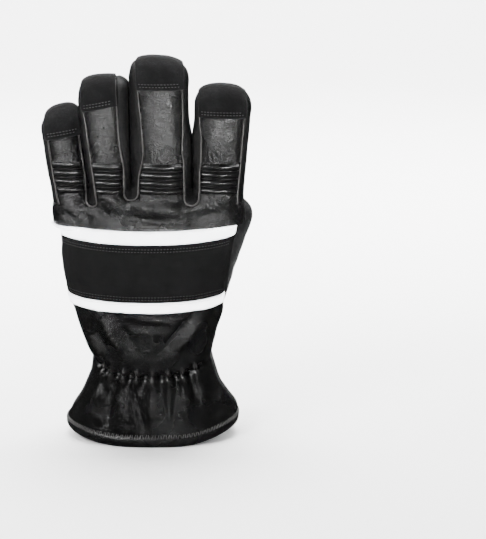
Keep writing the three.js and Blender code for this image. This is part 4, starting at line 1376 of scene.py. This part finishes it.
def grid_normals(grid):
    du = np.gradient(grid, axis=1)
    dv = np.gradient(grid, axis=0)
    n = np.cross(du, dv)
    return n / np.maximum(np.linalg.norm(n, axis=-1), 1e-9)[..., None]


def grid_faces(rows, columns, flip):
    r, c = np.meshgrid(np.arange(rows - 1), np.arange(columns - 1), indexing="ij")
    a = (r * columns + c).ravel()
    quad = np.stack([a, a + 1, a + columns + 1, a + columns], 1)
    return quad[:, ::-1] if flip else quad


def seam_angles(z):
    """Where the cuff's two side seams lie round its section."""
    _, my, _, deep, squareness = cuff_section(z)
    share = (split_y(np.zeros_like(z), z) - my) / deep
    turn = np.arcsin(np.sign(share) * np.abs(share) ** (squareness / 2))
    return turn, math.pi - turn


def cuff_panel(on_back, low, high, rows, columns, grow):
    """Half of the cuff between two heights. grow: how far out of the plain form it lies."""
    z = np.linspace(low, high, rows)[:, None]
    right, left = seam_angles(z)
    share = np.linspace(0.0, 1.0, columns)[None, :]
    angle = lerp(left, right + 2 * math.pi, share) if on_back else lerp(right, left, share)
    z = np.broadcast_to(z, angle.shape)
    grid, across = cuff_point(angle, z, grow)
    normals = grid_normals(grid)
    flat, n = grid.reshape(-1, 3), normals.reshape(-1, 3)
    steps = np.linalg.norm(np.diff(grid, axis=1), axis=2).sum(1)[:, None]
    edge = (np.minimum(share, 1 - share) * steps).ravel()
    lift = cuff_relief(flat, z.ravel(), across.ravel(), n)
    if grow < 0:
        lift = np.minimum(lift, LINING_LIFT)
    else:
        lift = lift - CUFF_GROOVE_DEPTH * np.exp(-(edge / CUFF_GROOVE_REACH) ** 2)
        lift = lift + CUFF_PADDING * (1 - np.exp(-edge / CUFF_PADDING_ROUND))
    return flat + n * lift[:, None], grid_faces(rows, columns, flip=grow < 0)


for name, on_back, material, slot_name in (("cuff_back", True, cuff_hide, "leather"),
                                           ("cuff_palm", False, palm_suede, "suede")):
    skin = cuff_panel(on_back, HEM_HEIGHT - CUFF_TUCK, WRIST_Z, CUFF_ROWS, CUFF_COLUMNS, 0.0)
    lining = cuff_panel(on_back, HEM_HEIGHT - LINING_TUCK, WRIST_Z + LINING_RISE, LINING_ROWS,
                        LINING_COLUMNS, -LINING_DEPTH)
    make_object(name, [skin, lining], material, (name,))

# The rolled hem: out and height round its section
HEM_SECTION = [
    (-3.3, 2.6), (-3.25, 1.5), (-2.9, 0.6), (-2.2, 0.12), (-1.4, 0.0), (-0.6, 0.0), (0.1, 0.25), (0.8, 0.9),
    (1.25, 1.8), (1.45, 2.9), (1.5, 4.0), (1.45, 5.1), (1.25, 6.1), (0.9, 7.0), (0.45, 7.8), (-0.1, 8.5),
    (-0.8, 8.9), (-1.8, 9.0), (-3.0, 9.0), (-3.3, 6.0),
]
HEM_COLUMNS = 420
HEM_INSIDE = -0.5
HEM_FLAT = 1.5


def hem_grid(columns):
    """The hem's rolled binding, closed round its section."""
    angle = np.linspace(0.0, 2 * math.pi, columns, endpoint=False)
    rows = []
    for out, height in HEM_SECTION:
        z = np.full(columns, height)
        point, _ = cuff_point(angle, z, out)
        rows.append(point)
    grid = np.stack(rows)
    outside = (np.array([out for out, _ in HEM_SECTION]) > HEM_INSIDE)[:, None]
    wave = 0.22 * lumps(grid.reshape(-1, 3), 7.0, 7) + 0.12 * lumps(grid.reshape(-1, 3), 3.0, 8)
    away = grid - grid.mean(axis=(0, 1))
    away[..., 2] = 0.0
    away /= np.maximum(np.linalg.norm(away, axis=-1), 1e-9)[..., None]
    height = np.array([height for _, height in HEM_SECTION])[:, None]
    wave = wave.reshape(grid.shape[:2]) * outside * np.clip(height / HEM_FLAT, 0, 1)
    grid = grid + away * wave[..., None]
    count = len(HEM_SECTION)
    faces = []
    for row in range(count):
        step = columns * ((row + 1) % count - row)
        a = row * columns + np.arange(columns)
        b = row * columns + (np.arange(columns) + 1) % columns
        faces.append(np.stack([a, b, b + step, a + step], 1))
    return grid.reshape(-1, 3), np.concatenate(faces)


make_object("hem_binding", [hem_grid(HEM_COLUMNS)], hem_hide, ("hem_binding",))


# Trim laid on the back
UPPER_TAPE_LOW = BAND_HIGH + GAP
UPPER_TAPE_HIGH = UPPER_TAPE_LOW + TAPE_WIDTH
LOWER_TAPE_HIGH = BAND_LOW - GAP
LOWER_TAPE_LOW = LOWER_TAPE_HIGH - LOWER_TAPE_WIDTH


def level_between(low, high):
    return [lambda p: p[:, 2] - low, lambda p: high - p[:, 2]]


def trim_lift(x, furthest=1.0):
    """The trim's rise towards the hand's sides. furthest: share of its reach where it turns level."""
    return TRIM_BOW * np.minimum(np.abs(x / TRIM_BOW_REACH), furthest) ** 2 - TRIM_BOW_DROP


def bowed(low, high):
    return [lambda p: p[:, 2] - low - trim_lift(p[:, 0]), lambda p: high + trim_lift(p[:, 0]) - p[:, 2]]


def behind_seam(p):
    return back_side(p) - TRIM_SIDE_INSET


def before_trim_end(p):
    """Above 0 left of the slanted end of the band and tapes on the thumb's side."""
    return lerp(TRIM_END_LOW, TRIM_END_HIGH, (p[:, 2] - BAND_LOW) / BAND_WIDTH) - p[:, 0]


def make_trim(name, low, high, height, material):
    rules = [behind_seam, before_trim_end] + bowed(low, high)
    patch = laid_patch(rules, 1, (-90, -60, low), (90, 10, high))
    make_object(name, [raised(*patch, height)], material, (name,))


make_trim("knuckle_band", BAND_LOW, BAND_HIGH, BAND_THICKNESS, band_weave)
for name, low, high in (("reflective_tape_upper", UPPER_TAPE_LOW, UPPER_TAPE_HIGH),
                        ("reflective_tape_lower", LOWER_TAPE_LOW, LOWER_TAPE_HIGH)):
    make_trim(name, low, high, TAPE_THICKNESS, tape_beads_painted_glow)

patch_rules = [lambda p: -back_side(p) - PATCH_SIDE_INSET, lambda p: -in_thumb(p) - PATCH_THUMB_INSET]
patch_rules += level_between(PATCH_LOW, PATCH_HIGH)
palm_patch = laid_patch(patch_rules, 0, (-90, -20, PATCH_LOW), (90, 90, PATCH_HIGH))
make_object("palm_patch", [raised(*palm_patch, PATCH_THICKNESS)], cap_suede, ("palm_patch",))


# Caps and ribs of the fingers
CAP_SEAM_INSET = 0.4
PAD_SEAM_INSET = 1.2
PAD_SINK = 0.9
PAD_EDGE = -0.6
RIB_VALLEY = 0.7
RIB_RISE = 1.15 * RIB_HEIGHT
RIB_ROUNDNESS = 0.85
RIB_END = 2.2


def on_finger(f, inset):
    return [lambda p: p[:, 0] - seam_x(f, 0, p[:, 2]) - inset,
            lambda p: seam_x(f, 1, p[:, 2]) - inset - p[:, 0]]


def cap_edge(f, x):
    return f["tip_z"] - CAP_LENGTH + f["slant"] * (x - f["tip_x"])


def make_cap(f, left, right):
    rules = on_finger(f, CAP_SEAM_INSET) + [back_side, lambda p: p[:, 2] - cap_edge(f, p[:, 0])]
    patch = laid_patch(rules, 1, (left, -60, f["tip_z"] - CAP_LENGTH - 8), (right, 30, f["tip_z"] + 3))
    name = "fingertip_cap_" + f["name"]
    make_object(name, [raised(*patch, CAP_THICKNESS)], cap_suede, (name,))


def make_ribs(f, left, right):
    """A pad of rounded ribs that sinks into the hide all round."""
    rules = on_finger(f, PAD_SEAM_INSET) + level_between(PAD_LOW, PAD_HIGH) + [back_side]
    points, faces, normals, edge = laid_patch(rules, 2, (left, -60, PAD_LOW), (right, 10, PAD_HIGH))
    turn = (points[:, 2] - PAD_LOW) / PAD_HEIGHT * RIB_COUNT
    wave = np.abs(np.sin(math.pi * turn)) ** RIB_ROUNDNESS
    height = PAD_EDGE + (RIB_VALLEY + RIB_RISE * wave) * ease(edge, 0.0, RIB_END)
    name = "knuckle_ribs_" + f["name"]
    pad = raised(points, faces, normals, edge, height, sink=PAD_SINK, foot_share=1.0)
    make_object(name, [pad], rib_hide, (name,))


for f in FINGERS:
    left, right = f["tip_x"] - f["width"] / 2, f["tip_x"] + f["width"] / 2
    make_cap(f, left, right)
    make_ribs(f, left, right)


# Seam lips beside the finger panels
LIP_INSET = 0.4
LIP_RADIUS = 0.62
LIP_TIP_RADIUS = 0.36
LIP_LIFT = 0.6
LIP_END = 2.5
LIP_STEP = 0.8
LOOP_STEPS = 16
PATH_ROUNDS = 2


def smooth_path(points):
    for _ in range(PATH_ROUNDS):
        inner = 0.25 * points[:-2] + 0.5 * points[1:-1] + 0.25 * points[2:]
        points = np.concatenate([points[:1], inner, points[-1:]])
    return points


def lay_lip(x, z):
    """A raised seam along x and z, slimmer towards the fingertip."""
    points = smooth_path(skin_at(x, z))
    normals, _ = slope(points)
    base = relief(points, normals, np.full(len(points), LIP_INSET))
    radius = lerp(LIP_RADIUS, LIP_TIP_RADIUS, ease(points[:, 2], PAD_HIGH, PAD_HIGH + 50))
    return tube(points + normals * base[:, None], normals, radius, LIP_LIFT)


def strip_lip(index):
    """The lip down one finger, round the strip's lower end and up the next finger."""
    left, right = FINGERS[index], FINGERS[index + 1]
    foot = ROOT_Z + left["web"] * WEB_RISE + LOOP_DROP
    downward = np.arange(left["tip_z"] - LIP_END, foot, -LIP_STEP)
    upward = np.arange(foot, right["tip_z"] - LIP_END, LIP_STEP)
    a, b = float(seam_x(left, 1, foot)), float(seam_x(right, 0, foot))
    turn = np.linspace(0, math.pi, LOOP_STEPS)[1:-1]
    loop_x = 0.5 * (a + b) - 0.5 * (b - a) * np.cos(turn)
    loop_z = foot - 0.5 * (b - a) * np.sin(turn) / LOOP_SQUASH
    return lay_lip(np.concatenate([seam_x(left, 1, downward), loop_x, seam_x(right, 0, upward)]),
                   np.concatenate([downward, loop_z, upward]))


def outer_lip(side, f):
    z = np.arange(OUTER_FOOT, f["tip_z"] - LIP_END, LIP_STEP)
    return lay_lip(seam_x(f, side, z), z)


lips = [strip_lip(index) for index in range(3)] + [outer_lip(0, FINGERS[0]), outer_lip(1, FINGERS[3])]
# The lips' pale colour is a painted highlight along the raised seams
make_object("finger_seam_lips", lips, seam_hide_painted_highlight)


# Stitch rows
CAP_STITCH = dict(length=1.5, pitch=2.3, radius=0.3, lift=0.12)
BAND_STITCH = dict(length=1.5, pitch=2.3, radius=0.25, lift=0.1)
TAPE_STITCH = dict(length=1.4, pitch=2.2, radius=0.2, lift=0.08)
TRIM_ROW_END = 1.5
TRIM_ROW_SPAN = (-64.0, 60.0, 150)
CAP_ROWS = (2.6, 4.5)
CAP_ROW_END = 2.0
CAP_ROW_PLACES = 60
BAND_ROWS = (BAND_HIGH - 2.6, BAND_HIGH - 4.6, BAND_LOW + 2.6, BAND_LOW + 4.6)
TAPE_ROWS = (UPPER_TAPE_LOW + 1.0, UPPER_TAPE_HIGH - 1.0, LOWER_TAPE_HIGH - 1.0, LOWER_TAPE_LOW + 1.0)


def surface_row(x, z, height):
    """A path at x and z that lies height above the skin, and its normals."""
    points = skin_at(x, z)
    normals, _ = slope(points)
    base = relief(points, normals, np.full(len(points), NO_EDGE))
    return points + normals * (base + GAP + height)[:, None], normals


def trim_rows(levels, height, kind):
    parts = []
    for level in levels:
        x = np.linspace(*TRIM_ROW_SPAN)
        path, normals = surface_row(x, level + trim_lift(x, math.inf), height)
        keep = np.minimum(behind_seam(path), before_trim_end(path)) > TRIM_ROW_END
        parts += stitches(path[keep], normals[keep], **kind)
    return parts


def cap_row(f, rise):
    """Stitches that follow the slanted edge of a fingertip cap."""
    x = np.linspace(f["tip_x"] - f["width"] / 2, f["tip_x"] + f["width"] / 2, CAP_ROW_PLACES)
    z = cap_edge(f, x) + rise
    inside = (x > seam_x(f, 0, z) + CAP_ROW_END) & (x < seam_x(f, 1, z) - CAP_ROW_END)
    path, normals = surface_row(x[inside], z[inside], CAP_THICKNESS)
    return stitches(path, normals, **CAP_STITCH)


cap_rows = [stitch for f in FINGERS for rise in CAP_ROWS for stitch in cap_row(f, rise)]
make_object("cap_stitches", cap_rows, dark_thread)
band_rows = trim_rows(BAND_ROWS, BAND_THICKNESS, BAND_STITCH)
make_object("band_stitches", band_rows, dark_thread)
tape_rows = trim_rows(TAPE_ROWS, TAPE_THICKNESS, TAPE_STITCH)
make_object("tape_stitches", tape_rows, pale_thread)

# Slanted ticks over the hem's top edge: heights, how far out, and a tick's thickness and lift along it
HEM_TICK_COUNT = 230
HEM_TICK_LEAN = 0.006
HEM_TICK_HEIGHTS = np.array([6.6, 7.4, 8.2, 9.0, 9.8])
HEM_TICK_OUT = np.array([1.1, 0.85, 0.6, 0.5, 0.45])
HEM_TICK_RADIUS = np.array([0.15, 0.3, 0.3, 0.3, 0.15])
HEM_TICK_LIFT = np.array([-0.2, 0.2, 0.3, 0.2, -0.2])


def hem_tick(turn, way):
    angle = turn + np.linspace(-HEM_TICK_LEAN, HEM_TICK_LEAN, 5) * way
    path, _ = cuff_point(angle, HEM_TICK_HEIGHTS, HEM_TICK_OUT)
    normal = path.mean(0) * np.array([1.0, 1.6, 0.0])
    normal /= np.linalg.norm(normal)
    return tube(path, np.tile(normal, (5, 1)), HEM_TICK_RADIUS, HEM_TICK_LIFT, STITCH_SIDES)


hem_turns = np.linspace(0.0, 2 * math.pi, HEM_TICK_COUNT, endpoint=False)
hem_ticks = [hem_tick(turn, 1 if count % 2 else -1) for count, turn in enumerate(hem_turns)]
make_object("hem_stitches", hem_ticks, hem_thread)


# Floor, light and camera, in metres
SWEEP_FLAT = 2.0
SWEEP_ROUND = 0.9
SWEEP_TOP = 3.4
SWEEP_STEPS = 12
SWEEP_SIDES = 72


def sweep_profile():
    """Distance from the middle and height, from the flat floor up a rounded corner to the wall's top."""
    profile = [(0.5, 0.0), (1.2, 0.0), (SWEEP_FLAT, 0.0)]
    for k in range(1, SWEEP_STEPS + 1):
        turn = math.pi / 2 * k / SWEEP_STEPS
        out = SWEEP_FLAT + SWEEP_ROUND * math.sin(turn)
        profile.append((out, SWEEP_ROUND - SWEEP_ROUND * math.cos(turn)))
    return profile + [(SWEEP_FLAT + SWEEP_ROUND, SWEEP_TOP)]


def stage_floor():
    """A pale round sweep: flat floor that curves up into a wall far off on every side."""
    profile = sweep_profile()
    turns = [2 * math.pi * k / SWEEP_SIDES for k in range(SWEEP_SIDES)]
    points = [(r * math.cos(turn), r * math.sin(turn), z) for r, z in profile for turn in turns]
    middle = len(points)
    faces = [(middle, k, (k + 1) % SWEEP_SIDES) for k in range(SWEEP_SIDES)]
    for ring in range(len(profile) - 1):
        for k in range(SWEEP_SIDES):
            a, b = ring * SWEEP_SIDES + k, ring * SWEEP_SIDES + (k + 1) % SWEEP_SIDES
            faces.append((a, a + SWEEP_SIDES, b + SWEEP_SIDES, b))
    floor = link_mesh("studio_sweep", points + [(0.0, 0.0, 0.0)], faces)
    material, net, shader = new_material("pale_paper", 0.9, 0.1)
    cloudy = net.noise(net.object_place(), 3.0)
    net.put(shader, "Base_Color", net.mix(cloudy, (0.93, 0.93, 0.93, 1), (0.95, 0.95, 0.95, 1)))
    floor.data.materials.append(material)
    floor.visible_glossy = False


stage_floor()


def area_light(name, place, aim, size, power, spread=180):
    light = bpy.data.lights.new(name, "AREA")
    light.shape = "RECTANGLE"
    light.size, light.size_y = size
    light.energy = power
    light.spread = math.radians(spread)
    lamp = bpy.data.objects.new(name, light)
    lamp.location = place
    lamp.rotation_euler = (Vector(aim) - Vector(place)).to_track_quat("-Z", "Y").to_euler()
    bpy.context.scene.collection.objects.link(lamp)


area_light("front_softbox", (0.3, -1.58, 0.15), (0, 0, 0.36), (0.5, 0.25), 1.35, 22)
area_light("upper_softbox", (-0.7, -0.9, 1.0), (0, 0, 0.15), (0.4, 0.35), 21.0)
area_light("overhead_wash", (0.0, 0.9, 2.2), (0, 0.5, 0.0), (3.0, 1.6), 80.0, 70)
area_light("back_wash", (0.0, 0.5, 2.2), (0, 2.2, 0.8), (3.0, 1.5), 200.0, 120)
area_light("front_wash", (0.0, -0.7, 2.3), (0, -2.4, 0.9), (3.0, 1.2), 30.0, 100)

AIR_STRENGTH = 0.04
world = bpy.data.worlds.new("studio_air")
world.use_nodes = True
air = world.node_tree.nodes["Background"]
air.inputs["Color"].default_value = (1, 1, 1, 1)
air.inputs["Strength"].default_value = AIR_STRENGTH
bpy.context.scene.world = world

# The photo's camera: millimetres from the middle of the hem's plain form
CAMERA_PLACE = (67.52, -1264.08, 429.03)
CAMERA_TILT = math.radians(13.5)
CAMERA_LENS = 117.0
lens = bpy.data.cameras.new("photo_view")
lens.sensor_width = 36.0
lens.lens = CAMERA_LENS
lens.clip_start, lens.clip_end = 0.05, 50.0
camera = bpy.data.objects.new("photo_view", lens)
camera.location = ((CAMERA_PLACE[0] + HEM_CENTRE_X) * 0.001, (CAMERA_PLACE[1] + HEM_CENTRE_Y) * 0.001,
                   CAMERA_PLACE[2] * 0.001)
camera.rotation_euler = (math.pi / 2 - CAMERA_TILT, 0.0, 0.0)
bpy.context.scene.collection.objects.link(camera)
bpy.context.scene.camera = camera
